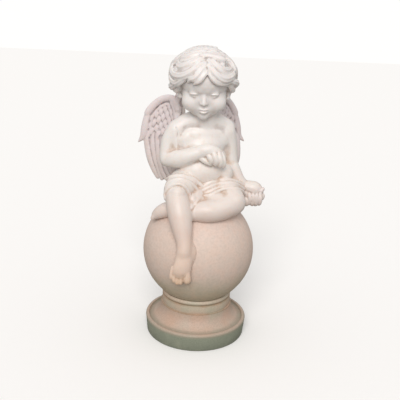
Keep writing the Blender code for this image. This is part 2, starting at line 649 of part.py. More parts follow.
# The turned base: a wall with a raised lip, a cove, a ring and its bead, and a seat for the ball
def plinth_profile():
    r = PLINTH_DIAMETER / 2
    ring = RING_DIAMETER / 2
    seat = SEAT_DIAMETER / 2
    lip = r - LIP_WIDTH
    foot = ring + 0.0025
    low = WALL_HEIGHT - 0.0045
    line = [(0, 0), (r - 0.0070, 0), (r - 0.0045, 0.0020), (r, WALL_HEIGHT - 0.0060),
            (r - 0.0022, WALL_HEIGHT),
            (lip + 0.0015, WALL_HEIGHT), (lip, low)]
    for k in range(1, 6):
        t = k / 5
        line.append((lip - (lip - foot) * math.sin(math.pi / 2 * t) ** 0.9,
                     low + (RING_FOOT_HEIGHT - low) * t ** 1.7))
    line += [(ring - 0.0008, RING_FOOT_HEIGHT + 0.0020), (ring - 0.0010, SEAT_HEIGHT - 0.0150),
             (ring - 0.0028, SEAT_HEIGHT - 0.0130), (ring, SEAT_HEIGHT - 0.0095),
             (ring - 0.0008, SEAT_HEIGHT - 0.0025),
             (ring - 0.0030, SEAT_HEIGHT), (0, SEAT_HEIGHT)]
    return line


def build_plinth(cutter):
    clay = bmesh.new()
    line = [clay.verts.new((x, 0, z)) for x, z in plinth_profile()]
    edges = [clay.edges.new(pair) for pair in zip(line, line[1:])]
    bmesh.ops.spin(clay, geom=line + edges, cent=(0, 0, 0), axis=(0, 0, 1), angle=2 * math.pi,
                   steps=PLINTH_SEGMENTS, use_duplicate=False)
    bmesh.ops.remove_doubles(clay, verts=clay.verts[:], dist=0.00005)
    bmesh.ops.recalc_face_normals(clay, faces=clay.faces[:])
    mesh = bpy.data.meshes.new("plinth")
    clay.to_mesh(mesh)
    clay.free()
    plinth = bpy.data.objects.new("plinth", mesh)
    bpy.context.scene.collection.objects.link(plinth)
    bed_on_ball(plinth, cutter)
    return plinth


def paint(thing, name, colour, roughness):
    coat = bpy.data.materials.new(name)
    coat.use_nodes = True
    shader = coat.node_tree.nodes["Principled BSDF"]
    shader.inputs["Base Color"].default_value = (*colour, 1)
    shader.inputs["Roughness"].default_value = roughness
    shader.inputs["Metallic"].default_value = 0
    thing.data.materials.clear()
    thing.data.materials.append(coat)


def smooth_shade(thing, degrees):
    for face in thing.data.polygons:
        face.use_smooth = True
    thing.data.set_sharp_from_angle(angle=math.radians(degrees))


clear_scene()
cutter = make_ball("seat_cutter", BALL_RADIUS + FIT_GAP)
cutter.display_type = "WIRE"
cutter.hide_render = True
ball = make_ball("ball", BALL_RADIUS)
plinth = build_plinth(cutter)
cherub = build_cherub()
bed_on_ball(cherub, cutter)
keep_largest(cherub)
bpy.data.objects.remove(cutter, do_unlink=True)
paint(cherub, "Ivory cast stone, satin", (0.72, 0.60, 0.53), 0.45)
paint(ball, "Buff cast stone, stippled", (0.55, 0.44, 0.37), 0.55)
paint(plinth, "Grey-green washed cast stone", (0.46, 0.40, 0.32), 0.55)
smooth_shade(cherub, 60)
smooth_shade(ball, 30)
smooth_shade(plinth, 30)
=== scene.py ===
"""A winged cherub seated on a stippled garden ball over a round turned base, finished for its picture.

The cherub is worked like clay: masses, tapered limbs and long blades are laid over one another, run
together into one skin, smoothed, and the smaller forms are laid on and scored in. The ball and the base are
turned from primitives in edit mode. All three are cast stone, rubbed and washed with thin colour.
"""
import math

import bmesh
import bpy
import numpy as np
from mathutils import Euler, Matrix, Vector, kdtree, noise


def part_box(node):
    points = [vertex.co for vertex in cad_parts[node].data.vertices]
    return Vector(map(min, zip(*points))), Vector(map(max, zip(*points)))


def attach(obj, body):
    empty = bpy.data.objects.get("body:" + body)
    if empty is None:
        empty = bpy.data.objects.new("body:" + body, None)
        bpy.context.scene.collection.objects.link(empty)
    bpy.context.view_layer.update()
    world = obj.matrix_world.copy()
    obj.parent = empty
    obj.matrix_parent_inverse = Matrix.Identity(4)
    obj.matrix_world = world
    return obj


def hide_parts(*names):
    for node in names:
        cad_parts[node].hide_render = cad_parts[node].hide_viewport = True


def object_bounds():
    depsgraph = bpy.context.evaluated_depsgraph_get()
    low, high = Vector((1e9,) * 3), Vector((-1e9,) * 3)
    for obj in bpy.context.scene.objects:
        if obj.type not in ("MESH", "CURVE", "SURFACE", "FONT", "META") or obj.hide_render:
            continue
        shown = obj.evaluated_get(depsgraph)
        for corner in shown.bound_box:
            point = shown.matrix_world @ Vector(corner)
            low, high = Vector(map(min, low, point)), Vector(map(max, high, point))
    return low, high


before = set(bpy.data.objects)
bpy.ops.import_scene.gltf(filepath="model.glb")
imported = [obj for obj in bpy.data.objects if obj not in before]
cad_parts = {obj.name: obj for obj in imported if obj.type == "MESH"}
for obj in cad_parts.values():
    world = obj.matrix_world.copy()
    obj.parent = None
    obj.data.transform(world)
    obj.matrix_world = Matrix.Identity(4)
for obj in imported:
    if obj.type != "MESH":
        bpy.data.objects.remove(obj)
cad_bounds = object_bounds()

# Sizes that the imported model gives, in metres
BALL_LOW, BALL_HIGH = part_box("ball")
BASE_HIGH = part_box("plinth")[1]
BALL_RADIUS = (BALL_HIGH[2] - BALL_LOW[2]) / 2
BALL_Z = (BALL_HIGH[2] + BALL_LOW[2]) / 2
BASE_RADIUS = BASE_HIGH[0]
SEAT_HEIGHT = BASE_HIGH[2]
# The cherub and the base stay this clear of the ball, as in the solids
FIT_GAP = 0.0003
# The base's own parts, in metres, as the solid has them
WALL_HEIGHT = 0.0490
LIP_WIDTH = 0.0100
RING_RADIUS = 0.0955
RING_FOOT_HEIGHT = 0.088
# The figure is drawn in millimetres for a ball of this radius at this height; one of them is UNIT metres
DRAWN_BALL_RADIUS = 150
DRAWN_BALL_Z = 245.0
UNIT = BALL_RADIUS / DRAWN_BALL_RADIUS
TORSO_TURN = math.radians(15)
HEAD_TILT = math.radians(13)
SKULL = (0, 14, 20)
SKULL_RADII = (66, 76, 62)
# How fine the clay is worked, in the same millimetres, and how many triangles and sides the pieces keep
MASS_CELL = 2.4
FORM_CELL = 1.7
SKIN_CELL = 1.25
SKIN_TRIANGLES = 196000
TURNED_SEGMENTS = 192


def clear_selection():
    bpy.ops.object.select_all(action="DESELECT")


# Places on the figure: x to the viewer's right, y away, z above the ground, for a 300 mm ball
def spot(x, y, z):
    return Vector((x * UNIT, y * UNIT, BALL_Z + (z - DRAWN_BALL_Z) * UNIT))


def torso(x, y, z):
    """A place drawn on the unturned torso, carried round by the turn of the shoulders."""
    c = math.cos(TORSO_TURN)
    s = math.sin(TORSO_TURN)
    return (x * c - y * s, x * s + y * c, z)


def head(x, y, z):
    """A place drawn on the level head, tipped forward about the neck and set on it."""
    c = math.cos(HEAD_TILT)
    s = math.sin(HEAD_TILT)
    return (x - 1, y * c - z * s - 18, z * c + y * s + 692)


def scalp(around, up, lift):
    """A place over the skull: degrees round from the face, degrees up, and millimetres of lift."""
    a = math.radians(around)
    e = math.radians(up)
    x = SKULL[0] + (SKULL_RADII[0] + lift) * math.cos(e) * math.sin(a)
    y = SKULL[1] - (SKULL_RADII[1] + lift) * math.cos(e) * math.cos(a)
    z = SKULL[2] + (SKULL_RADII[2] + lift) * math.sin(e)
    return head(x, y, z)


def wing(side, s, z, lift=0.0):
    """A place on a wing: s outward from the shoulder blade, z up, lift off its hollow face."""
    root = (-31, 31) if side < 0 else (11.4, 42.4)
    if side > 0:
        s = s * (1 - 0.045 * min(max((z - 550) / 50, 0), 1))
    heading = math.radians(150 if side < 0 else 55)
    out = (math.cos(heading), math.sin(heading))
    face = (out[1] * side, out[0] * -side)
    belly = 13 * math.sin(math.pi * min(max((s - 20) / 150, 0), 1))
    flare = (2 if side < 0 else 16) * min(max((530 - z) / 40, 0), 1)
    d = lift - belly + flare
    return (root[0] + out[0] * s + face[0] * d, root[1] + out[1] * s + face[1] * d, z)


def wing_front(side):
    """The way a wing's hollow face looks."""
    return Vector(wing(side, 60, 0, 1)) - Vector(wing(side, 60, 0, 0))


# Clay tools
def add_mass(clay, centre, radii, turn=(0, 0, 0), detail=3):
    """One rounded mass, its radii in millimetres and its turn in degrees."""
    size = Matrix.Diagonal((radii[0] * UNIT, radii[1] * UNIT, radii[2] * UNIT, 1))
    spin = Euler([math.radians(t) for t in turn]).to_matrix().to_4x4()
    place = Matrix.Translation(spot(*centre)) @ spin @ size
    bmesh.ops.create_icosphere(clay, subdivisions=detail, radius=1, matrix=place)


def between(values, t):
    """A smooth curve through evenly spaced values, at t from 0 to 1."""
    last = len(values) - 1
    at = min(max(t, 0), 1) * last
    i = min(int(at), last - 1)
    f = at - i
    p1 = values[i]
    p2 = values[i + 1]
    p0 = values[i - 1] if i > 0 else p1 * 2 - p2
    p3 = values[i + 2] if i + 2 <= last else p2 * 2 - p1
    a = p1 * 2
    b = (p2 - p0) * f
    c = (p0 * 2 - p1 * 5 + p2 * 4 - p3) * (f * f)
    d = (p1 * 3 - p0 - p2 * 3 + p3) * (f * f * f)
    return (a + b + c + d) * 0.5


def add_limb(clay, stations, thin=1.0, face=(0, -1, 0), sides=14, steps=5, round_ends=True, strands=0,
             groove=0.16):
    """A tapered limb through stations (x, y, z, radius); thin flattens it along face."""
    points = [spot(*s[:3]) for s in stations]
    radii = [s[3] * UNIT for s in stations]
    count = (len(stations) - 1) * steps
    line = [(between(points, i / count), max(between(radii, i / count), 0.0002)) for i in range(count + 1)]
    facing = Vector(face).normalized()
    cap = 3 if round_ends else 0
    rings = []
    for i, (point, radius) in enumerate(line):
        ahead = line[min(i + 1, count)][0] - line[max(i - 1, 0)][0]
        tangent = ahead.normalized()
        if i == 0:
            for k in range(cap, 0, -1):
                a = math.pi / 2 * k / (cap + 0.5)
                rings.append((point - tangent * radius * math.sin(a), radius * math.cos(a), tangent))
        rings.append((point, radius, tangent))
        if i == count:
            for k in range(1, cap + 1):
                a = math.pi / 2 * k / (cap + 0.5)
                rings.append((point + tangent * radius * math.sin(a), radius * math.cos(a), tangent))
    loops = []
    for point, radius, tangent in rings:
        thick = facing - tangent * facing.dot(tangent)
        if thick.length < 0.05:
            thick = Vector((0.3, 0.2, 1)) - tangent * Vector((0.3, 0.2, 1)).dot(tangent)
        thick.normalize()
        wide = tangent.cross(thick)
        loop = []
        for k in range(sides):
            a = 2 * math.pi * k / sides
            r = radius * (1 + groove * math.cos(strands * a)) if strands else radius
            loop.append(clay.verts.new(point + wide * r * math.cos(a) + thick * r * thin * math.sin(a)))
        loops.append(loop)
    for low, high in zip(loops, loops[1:]):
        for k in range(sides):
            n = (k + 1) % sides
            clay.faces.new((low[k], low[n], high[n], high[k]))
    clay.faces.new(loops[0][::-1])
    clay.faces.new(loops[-1])


def run_together(clay, name, voxel, passes):
    """Joins the clay laid so far into one skin of even cells and smooths it."""
    mesh = bpy.data.meshes.new(name)
    bmesh.ops.recalc_face_normals(clay, faces=clay.faces[:])
    clay.to_mesh(mesh)
    clay.free()
    lump = bpy.data.objects.new(name, mesh)
    bpy.context.scene.collection.objects.link(lump)
    skin = lump.modifiers.new("Skin", "REMESH")
    skin.mode = "VOXEL"
    skin.voxel_size = voxel * UNIT
    if passes:
        smooth = lump.modifiers.new("Smooth", "SMOOTH")
        smooth.factor = 0.5
        smooth.iterations = passes
    settle(lump)
    return lump


def settle(thing):
    """Turns what the modifiers show into the object's own mesh."""
    graph = bpy.context.evaluated_depsgraph_get()
    graph.update()
    shown = bpy.data.meshes.new_from_object(thing.evaluated_get(graph), depsgraph=graph)
    old = thing.data
    thing.modifiers.clear()
    thing.data = shown
    bpy.data.meshes.remove(old)


def reopen(lump):
    """Takes a settled lump back as clay, so that more can be laid on it."""
    clay = bmesh.new()
    clay.from_mesh(lump.data)
    bpy.data.objects.remove(lump, do_unlink=True)
    return clay


def press(clay, centre, radius, move):
    """Pushes the skin near a place by a move in millimetres, fading out at the radius."""
    middle = spot(*centre)
    shift = Vector(move) * UNIT
    reach = radius * UNIT
    for v in clay.verts:
        d = (v.co - middle).length / reach
        if d < 1:
            v.co += shift * (1 - d * d) ** 2


def score(clay, line, width, depth, steps=8):
    """Pushes the skin in by depth millimetres along a line of places, fading out at the width."""
    points = [Vector(p) for p in line]
    count = (len(points) - 1) * steps
    path = [between(points, i / count) for i in range(count + 1)]
    near = kdtree.KDTree(len(path))
    for i, p in enumerate(path):
        near.insert(spot(*p), i)
    near.balance()
    reach = width * UNIT
    low = Vector([min(spot(*p)[k] for p in path) - reach for k in range(3)])
    high = Vector([max(spot(*p)[k] for p in path) + reach for k in range(3)])
    for v in clay.verts:
        c = v.co
        if low.x < c.x < high.x and low.y < c.y < high.y and low.z < c.z < high.z:
            d = near.find(c)[2] / reach
            if d < 1:
                v.co = c - v.normal * (depth * UNIT * (1 - d * d) ** 2)


# The body
def lay_trunk(clay):
    add_mass(clay, (6, 8, 428), (62, 48, 40), (0, 0, 15))
    add_mass(clay, (36, 34, 412), (36, 34, 30))
    add_mass(clay, (-24, 20, 412), (36, 34, 30))
    add_mass(clay, (6, -26, 420), (56, 40, 28))
    add_mass(clay, (3, -12, 470), (65, 49, 46), (0, 0, 15))
    add_mass(clay, (2, -2, 504), (63, 46, 44), (0, 0, 15))
    add_mass(clay, (2, 2, 538), (62, 44, 42), (0, 0, 15))
    add_mass(clay, (1, 4, 564), (69, 38, 31), (0, 0, 15))
    for side in (-1, 1):
        add_mass(clay, torso(side * 26, -19, 550), (38, 11, 30), (0, 0, 15))
        add_mass(clay, torso(side * 32, 28, 552), (26, 15, 30), (0, 0, 15))
    add_mass(clay, (58, -12, 462), (26, 26, 28))
    add_mass(clay, (-66, -24, 548), (11, 13, 34))
    add_limb(clay, [(-60, -5, 583, 23), (-32, -1, 595, 26), (2, 2, 600, 30), (34, 10, 593, 25),
                    (62, 17, 581, 21)])
    add_limb(clay, [(4, 10, 584, 38), (2, 4, 612, 37), (1, -4, 640, 35)])
    add_mass(clay, (-1, 22, 632), (35, 30, 30))


def lay_arms(clay):
    add_limb(clay, [(-67, -8, 574, 27), (-85, -12, 548, 22), (-91, -16, 520, 20.5), (-90, -22, 498, 22)])
    add_limb(clay, [(-89, -22, 497, 21.5), (-66, -36, 502, 23), (-40, -48, 512, 21), (-8, -54, 526, 17.5)])
    add_limb(clay, [(-52, -14, 556, 15), (-57, -18, 535, 13), (-58, -22, 515, 12)])
    add_limb(clay, [(60, 16, 570, 26), (68, 19, 545, 23), (73, 20, 515, 21), (77, 18, 486, 19.5)])
    add_limb(clay, [(76, 17, 486, 19), (87, 12, 463, 19.5), (101, 6, 440, 17), (118, 5, 424, 15.5)])


def lay_legs(clay):
    add_limb(clay, [(-28, 4, 428, 43), (-44, -34, 431, 40), (-57, -68, 428, 33), (-61, -88, 419, 30)])
    add_limb(clay, [(-60, -90, 418, 30), (-53, -109, 391, 32), (-45, -126, 356, 29), (-36, -147, 312, 20.5),
                    (-36, -153, 292, 20.5)])
    add_mass(clay, (-58, -104, 421), (21, 17, 20))
    add_limb(clay, [(-35, -151, 298, 21), (-36, -160, 268, 23), (-40, -160, 246, 26), (-42, -155, 230, 23)],
             thin=0.62, face=(0.1, -1, -0.2))
    add_limb(clay, [(-21, -140, 306, 12), (-15, -141, 287, 13.5), (-19, -144, 264, 12)])
    add_limb(clay, [(34, 22, 418, 44), (60, -16, 411, 40), (80, -48, 403, 36), (86, -58, 398, 34)])
    add_limb(clay, [(84, -60, 396, 33), (52, -82, 386, 31), (14, -94, 382, 29), (-28, -86, 380, 25),
                    (-62, -66, 374, 21)])
    add_mass(clay, (38, -60, 400), (44, 32, 28), (0, 0, -20))
    add_mass(clay, (91, -72, 404), (21, 18, 22))
    add_limb(clay, [(-60, -66, 376, 21), (-85, -58, 371, 23), (-104, -53, 361, 20), (-113, -50, 354, 16)],
             thin=0.85, face=(-0.5, -0.3, 0.8))


# Each toe of the hanging foot: its x, the height of its tip and its radius
TOES = ((-65.5, 226, 4.7), (-58, 217.5, 5), (-50, 212, 5.2), (-41.5, 212.5, 5.4), (-25.5, 219, 10.2))


def lay_toes(clay):
    for x, z, r in TOES:
        add_limb(clay, [(x * 0.9 - 4, -162, z + 30 - 0.6 * r, r * 0.9), (x, -165 + 0.3 * r, z + 13, r * 0.92),
                        (x, -165 + 0.5 * r, z, r * 1.08), (x, -161 + 0.6 * r, z - 4, r * 0.85)],
                 sides=16, steps=4)
    for i in range(4):
        add_limb(clay, [(-108 - i, -58 + 7 * i, 358 - 1.5 * i, 7.5), (-118, -56 + 6.5 * i, 350 - i, 7),
                        (-123, -54 + 6 * i, 344 - i, 6)], sides=12, steps=4)


# The right hand closed on the chest, and the left one closed over a gathered end of the cloth
FIST = (
    ((4, -50, 530, 7.4), (13, -58, 528, 7.8), (19, -66, 519, 7.2), (23, -66, 509, 7.0), (21, -58, 502, 6.4),
     (15, -52, 506, 5.4)),
    ((16, -50, 535, 7.4), (26, -59, 532, 7.8), (33, -68, 521, 7.2), (37, -68, 508, 7.0), (35, -60, 500, 6.4),
     (29, -53, 504, 5.4)),
    ((29, -49, 534, 7.2), (39, -57, 530, 7.6), (46, -66, 517, 7.0), (49, -65, 504, 6.8), (47, -58, 496, 6.2),
     (41, -52, 501, 5.4)),
    ((39, -46, 528, 7.0), (49, -53, 524, 7.0), (55, -60, 512, 6.3), (57, -59, 500, 6.1), (55, -53, 494, 5.6),
     (50, -48, 499, 5)),
)


def lay_hands(clay):
    add_limb(clay, [(-10, -55, 525, 17.5), (4, -57, 531, 17), (20, -57, 534, 16), (36, -53, 528, 14)],
             thin=0.8)
    add_mass(clay, (20, -55, 531), (25, 15, 15), (0, -8, 0))
    add_limb(clay, [(-8, -56, 518, 8), (3, -60, 510, 7.6), (13, -62, 504, 6.6), (22, -60, 499, 5.4)],
             sides=14)
    add_mass(clay, (28, -52, 514), (27, 14, 15))
    for finger in FIST:
        add_limb(clay, finger, sides=14, steps=5)
    add_limb(clay, [(116, 5, 425, 16.5), (130, 7, 421, 18.5), (145, 8, 416, 20.5), (154, 8, 404, 16)])
    for i in range(4):
        x = 131 + i * 9.4
        drop = 2.5 * math.sin(math.pi * i / 3)
        add_limb(clay, [(x - 1, -5, 409 + drop, 6.0), (x + 1, -11, 396, 6.2), (x, -9, 383 - drop, 5.6),
                        (x - 1, -2, 378 - drop, 5.2)], sides=12, steps=4)
    add_mass(clay, (141, 4, 396), (23, 17, 20))
    add_mass(clay, (122, 4, 404), (14, 16, 18))
    add_mass(clay, (122, -2, 386), (14, 15, 16))
    add_limb(clay, [(150, 0, 413, 8), (161, -2, 415, 7), (166, -2, 420, 5.5)], sides=12, steps=4)
    add_limb(clay, [(162, 0, 406, 5), (168, -2, 402, 5), (166, -3, 394, 5)], sides=12, steps=3)


# The cloth: sleeves over both thighs, a band round the seat, a hanging end and raised folds
def lay_cloth(clay):
    add_limb(clay, [(-24, 6, 428, 47), (-41, -32, 432, 45.5), (-53, -60, 430, 40.5), (-58, -77, 427, 37),
                    (-59, -90, 424, 34)],
             round_ends=False, sides=28)
    add_limb(clay, [(34, 24, 418, 49), (54, -6, 414, 46.5), (68, -28, 411, 43), (77, -42, 408, 40)],
             round_ends=False, sides=28)
    add_mass(clay, (8, 14, 424), (68, 52, 38), (0, 0, 15))
    add_mass(clay, (6, -22, 422), (56, 42, 28), (0, 0, 15))
    add_mass(clay, (100, 20, 402), (34, 26, 28))
    add_limb(clay, [(108, 22, 408, 20), (126, 20, 402, 19), (144, 16, 392, 16)])


# Each fold is a ridge: places along it and its thickness
LEFT_FOLDS = (
    ((-90, -46, 450, 4.5), (-76, -63, 462, 5.5), (-50, -69, 467, 6), (-24, -65, 459, 6), (-9, -59, 449, 5.5),
     (5, -56, 437, 5)),
    ((-89, -84, 442, 4), (-78, -83, 455, 4.5), (-56, -83, 463, 4.5), (-33, -80, 456, 4.5),
     (-17, -74, 443, 4.5),
     (-4, -68, 426, 4)),
)
RIGHT_FOLDS = (
    ((6, -56, 437, 4.5), (24, -50, 447, 5.5), (45, -39, 450, 6), (68, -37, 452, 6), (93, -24, 445, 5.5),
     (112, -8, 432, 5)),
    ((6, -63, 429, 4), (24, -55, 437, 4.5), (45, -46, 443, 4.5), (68, -47, 448, 4.5), (92, -39, 443, 4.5),
     (115, -11, 422, 4)),
    ((9, -67, 421, 3.5), (27, -62, 429, 4), (46, -54, 435, 4), (66, -55, 441, 4), (90, -45, 437, 4),
     (113, -14, 417, 4)),
)
LEFT_HEM = ((-88, -97, 413), (-90, -91, 425), (-85, -93, 437), (-73, -95, 448), (-57, -97, 454),
            (-42, -97, 449),
            (-32, -94, 436), (-27, -92, 421), (-25, -101, 408), (-21, -114, 397))
RIGHT_HEM = ((5, -72, 414), (16, -73, 418), (27, -74, 422), (42, -67, 428), (56, -62, 433), (72, -59, 436),
             (94, -52, 434), (109, -30, 421), (117, -14, 408), (120, 2, 394))
PLEATS = (
    ((-2, -66, 424, 4.5), (-12, -88, 411, 5.5), (-19, -110, 399, 4)),
    ((0, -68, 424, 4.5), (-6, -87, 413, 5.5), (-12, -104, 404, 4)),
    ((3, -70, 421, 4.5), (1, -80, 412, 5), (-4, -92, 404, 4)),
)


def lay_folds(clay):
    for fold in LEFT_FOLDS + RIGHT_FOLDS:
        add_limb(clay, fold, thin=0.8, face=(0, -0.7, 0.7), sides=12)
    for hem in (LEFT_HEM, RIGHT_HEM):
        add_limb(clay, [(*place, 4.4) for place in hem], sides=12, steps=4)
    add_limb(clay, [(0, -62, 425, 10), (-8, -80, 414, 15), (-16, -98, 402, 12)], thin=0.7)
    add_mass(clay, (2, -74, 405), (13, 14, 14))
    add_mass(clay, (-19, -84, 408), (13, 18, 18))
    for pleat in PLEATS:
        add_limb(clay, pleat, sides=12, steps=5)


def lay_knees(clay):
    add_mass(clay, (-57, -100, 428), (21, 18.5, 19))
    add_mass(clay, (-54, -113, 405), (13, 15, 10))
    add_mass(clay, (91, -66, 408), (22, 18, 20))


# Wings: a rolled front edge that ends in a point, a thin hollow blade and rows of feathers
FEATHER_TAPER = (0.6, 0.9, 1.0, 0.85, 0.35)
COVERT_STEP = 14
COVERT_ROW = 19.5
COVERT_HALF_WIDTH = 8.2


def add_feather(clay, side, start, end, width, lift, rise, thin):
    """A bowed feather from start to end, as (s, z) on the wing, its tip raised by rise off the blade."""
    stations = []
    for k in range(5):
        t = k / 4
        s = start[0] + (end[0] - start[0]) * t
        z = start[1] + (end[1] - start[1]) * t
        bow = 0.06 * (start[1] - end[1]) * math.sin(math.pi * t)
        stations.append((*wing(side, s + bow, z, lift + rise * t), width * FEATHER_TAPER[k]))
    add_limb(clay, stations, thin=thin, face=wing_front(side), sides=12, steps=3)


def lay_wing_blade(clay, side):
    rows = ((30, 462, 562), (50, 448, 626), (68, 436, 634), (88, 426, 630), (106, 430, 616), (120, 456, 598),
            (134, 496, 572))
    front = wing_front(side)
    for s, low, high in rows:
        steps = [(*wing(side, s, low + (high - low) * t, 0), 13) for t in (0, 0.33, 0.66, 1)]
        add_limb(clay, steps, thin=0.46, face=front, sides=12)
    add_limb(clay, [(*wing(side, 16, 540, 4), 13), (*wing(side, 36, 568, 5), 12),
                    (*wing(side, 46, 592, 5), 11.5),
                    (*wing(side, 51, 614, 5), 11.5), (*wing(side, 60, 630, 6), 12)], thin=0.8, face=front)
    add_limb(clay, [(*wing(side, -6, 520, 12), 16), (*wing(side, 10, 526, 6), 17),
                    (*wing(side, 26, 531, 0), 16), (*wing(side, 52, 540, 0), 12)],
             thin=0.8, face=front)


# The rolled front edge: two long scales, the lower one ending in a point
EDGE_SCALES = (
    ((137, 598, 10), (145, 574, 11.5), (150, 549, 12), (155, 526, 9.5), (163, 514, 5), (168, 508, 1.6)),
    ((44, 616, 9), (53, 634, 11), (72, 640, 10), (97, 635, 9.5), (119, 620, 10), (135, 602, 10.5),
     (142, 592, 9.5)),
)
# The long flight feathers: outer ones first
FLIGHTS = (
    ((145, 540, 9), (144, 510, 9), (135, 468, 9), (121, 436, 8.4), (108, 415, 6.4)),
    ((128, 545, 8), (127, 512, 7.8), (119, 470, 7.4), (106, 434, 7), (95, 412, 5.8)),
    ((111, 545, 8), (111, 515, 7.8), (106, 472, 7.2), (94, 436, 6.8), (82, 416, 5.6)),
    ((95, 545, 8), (96, 515, 7.5), (93, 472, 7), (81, 443, 6.4), (70, 426, 5.4)),
    ((79, 545, 8), (80, 515, 7.5), (79, 478, 7), (69, 452, 6.4), (59, 436, 5.2)),
    ((63, 545, 8), (65, 515, 7.5), (66, 485, 7), (58, 464, 6), (50, 450, 5)),
    ((48, 545, 8), (51, 515, 7.5), (54, 492, 7), (48, 474, 6), (41, 464, 4.5)),
)


def lay_primaries(clay, side):
    front = wing_front(side)
    for i, feather in enumerate(FLIGHTS):
        spread = 7 if side > 0 else 0
        for lift in (5.5 - 0.5 * (i % 2), -5):
            stations = []
            for s, z, r in feather:
                wide = spread * min(max((530 - z) / 90, 0), 1) * (1 - i / 9)
                stations.append((*wing(side, s + wide, z, lift), r))
            add_limb(clay, stations, thin=0.5, face=front, sides=14, steps=5)
    for k, scale in enumerate(EDGE_SCALES):
        stations = [(*wing(side, s, z, 5 + 2.5 * k), r) for s, z, r in scale]
        add_limb(clay, stations, thin=0.72, face=front, sides=16, steps=5)


# The narrow ledge inside the rolled edge, as (s, z) on the wing
LEDGE = ((60, 622), (74, 624), (92, 619), (110, 606), (123, 589), (130, 568), (133, 545), (138, 528))


def add_covert(clay, side, s, z, lift, rise):
    add_feather(clay, side, (s - 6, z + 24), (s + 2, z - 4), COVERT_HALF_WIDTH, lift, rise, 0.42)


def lay_coverts(clay, side):
    """The short feathers that overlap like scales, in staggered rows on the hollow face and on the back."""
    add_limb(clay, [(*wing(side, s, z, 7), 4.4) for s, z in LEDGE], thin=0.8, face=wing_front(side), sides=12)
    for row in range(5):
        for i in range(7):
            s = 44 + COVERT_STEP * i + COVERT_STEP / 2 * (row % 2)
            z = 622 - 0.62 * (s - 60) - COVERT_ROW * row
            if s < 142 - 5 * row and z > 534:
                add_covert(clay, side, s, z, 3.6 - 0.2 * row, 6.2)
    for row in range(6):
        for i in range(8):
            s = 36 + COVERT_STEP * i + COVERT_STEP / 2 * (row % 2)
            z = 626 - 0.35 * (s - 60) - COVERT_ROW * row
            if s < 132 and z > 520:
                add_covert(clay, side, s, z, -5.2 + 0.2 * row, -6.0)


# The head, with a child's proportions of the builder's own
def lay_skull(clay):
    add_mass(clay, head(*SKULL), SKULL_RADII, (math.degrees(HEAD_TILT), 0, 0))
    add_mass(clay, head(0, -16, 22), (54, 46, 42))
    add_mass(clay, head(0, -11, -18), (57, 47, 42))
    add_mass(clay, head(0, -15, -50), (42, 40, 27))
    add_mass(clay, head(0, -42, -64), (16, 13, 12))
    add_mass(clay, head(0, -44, -42), (21, 14, 18))
    for side in (-1, 1):
        add_mass(clay, head(side * 28, -28, -33), (29, 28, 27))


def press_face(clay):
    for side in (-1, 1):
        press(clay, head(side * 23, -58, -3), 23, (0, 4.4, 0))


def lay_face(clay):
    add_limb(clay, [(*head(0, -49.5, 5), 6.5), (*head(0, -52, -7), 6.2), (*head(0, -57.5, -18), 6.2),
                    (*head(0, -60.5, -25), 6.8)], sides=14)
    for side in (-1, 1):
        add_mass(clay, head(side * 6, -57.5, -26.5), (4.6, 5.6, 4.2))
        add_mass(clay, head(side * 24, -40.5, -4.5), (13, 13, 13))
        add_mass(clay, head(side * 24, -40.3, -2.2), (14.2, 13.6, 12.6))


def lay_ears(clay):
    for side in (-1, 1):
        rim = []
        for k in range(7):
            a = math.radians(-80 + 42 * k)
            rim.append((*head(side * (63 + 3 * math.cos(a)), 6 + 9 * math.cos(a), -14 + 16 * math.sin(a)),
                        3.6))
        add_limb(clay, rim, sides=10)
        add_mass(clay, head(side * 59, 4, -16), (7, 10, 16))
        add_mass(clay, head(side * 60, 0, -31), (7, 7.5, 7.5))


def eye_arc(side, high, reach, width=12.0):
    """Places along an eyelid's edge, over the ball of the eye."""
    arc = []
    for k in range(7):
        dx = width * (k / 3 - 1)
        dz = high * math.cos(math.pi / 2 * (k / 3 - 1)) - 0.8
        arc.append(head(side * (24 + dx), -40.5 - math.sqrt(reach ** 2 - dx * dx - dz * dz), -4.5 + dz))
    return arc


UPPER_LID = (0.8, 1.2, 1.5, 1.6, 1.5, 1.2, 0.8)
LOWER_LID = (0.8, 1.1, 1.3, 1.4, 1.3, 1.1, 0.8)


def lay_features(clay):
    for side in (-1, 1):
        for arc, radii in ((eye_arc(side, 2.2, 14.4), UPPER_LID), (eye_arc(side, -5.8, 13.2), LOWER_LID)):
            add_limb(clay, [(*place, r) for place, r in zip(arc, radii)], sides=10, steps=4)
        add_limb(clay, [(*head(0, -58.5, -42.5), 2.6), (*head(side * 4.5, -58.6, -41.4), 2.9),
                        (*head(side * 9, -56, -43.4), 2.2), (*head(side * 13, -53, -45.6), 1.2)],
                 sides=10, steps=4)
    add_limb(clay, [(*head(-11, -53.5, -47), 1.6), (*head(-5, -57, -49), 3.2), (*head(0, -57.8, -49.6), 3.5),
                    (*head(5, -57, -49), 3.2), (*head(11, -53.5, -47), 1.6)], sides=10, steps=5)


def score_face(clay):
    score(clay, [head(-13, -54, -45.6), head(-6, -59.5, -45.2), head(0, -60.5, -46), head(6, -59.5, -45.2),
                 head(13, -54, -45.6)], 2.4, 1.5)
    score(clay, [head(0, -60, -33), head(0, -59.5, -39)], 3.2, 0.8)
    score(clay, [head(-9, -53, -55), head(0, -56, -56.5), head(9, -53, -55)], 5, 1.0)
    for side in (-1, 1):
        score(clay, [head(side * 3.4, -62, -31), head(side * 5.6, -60, -30)], 2.4, 2.2)
        score(clay, [head(side * 11.5, -56, -24), head(side * 11.5, -56, -29)], 2.6, 0.9)


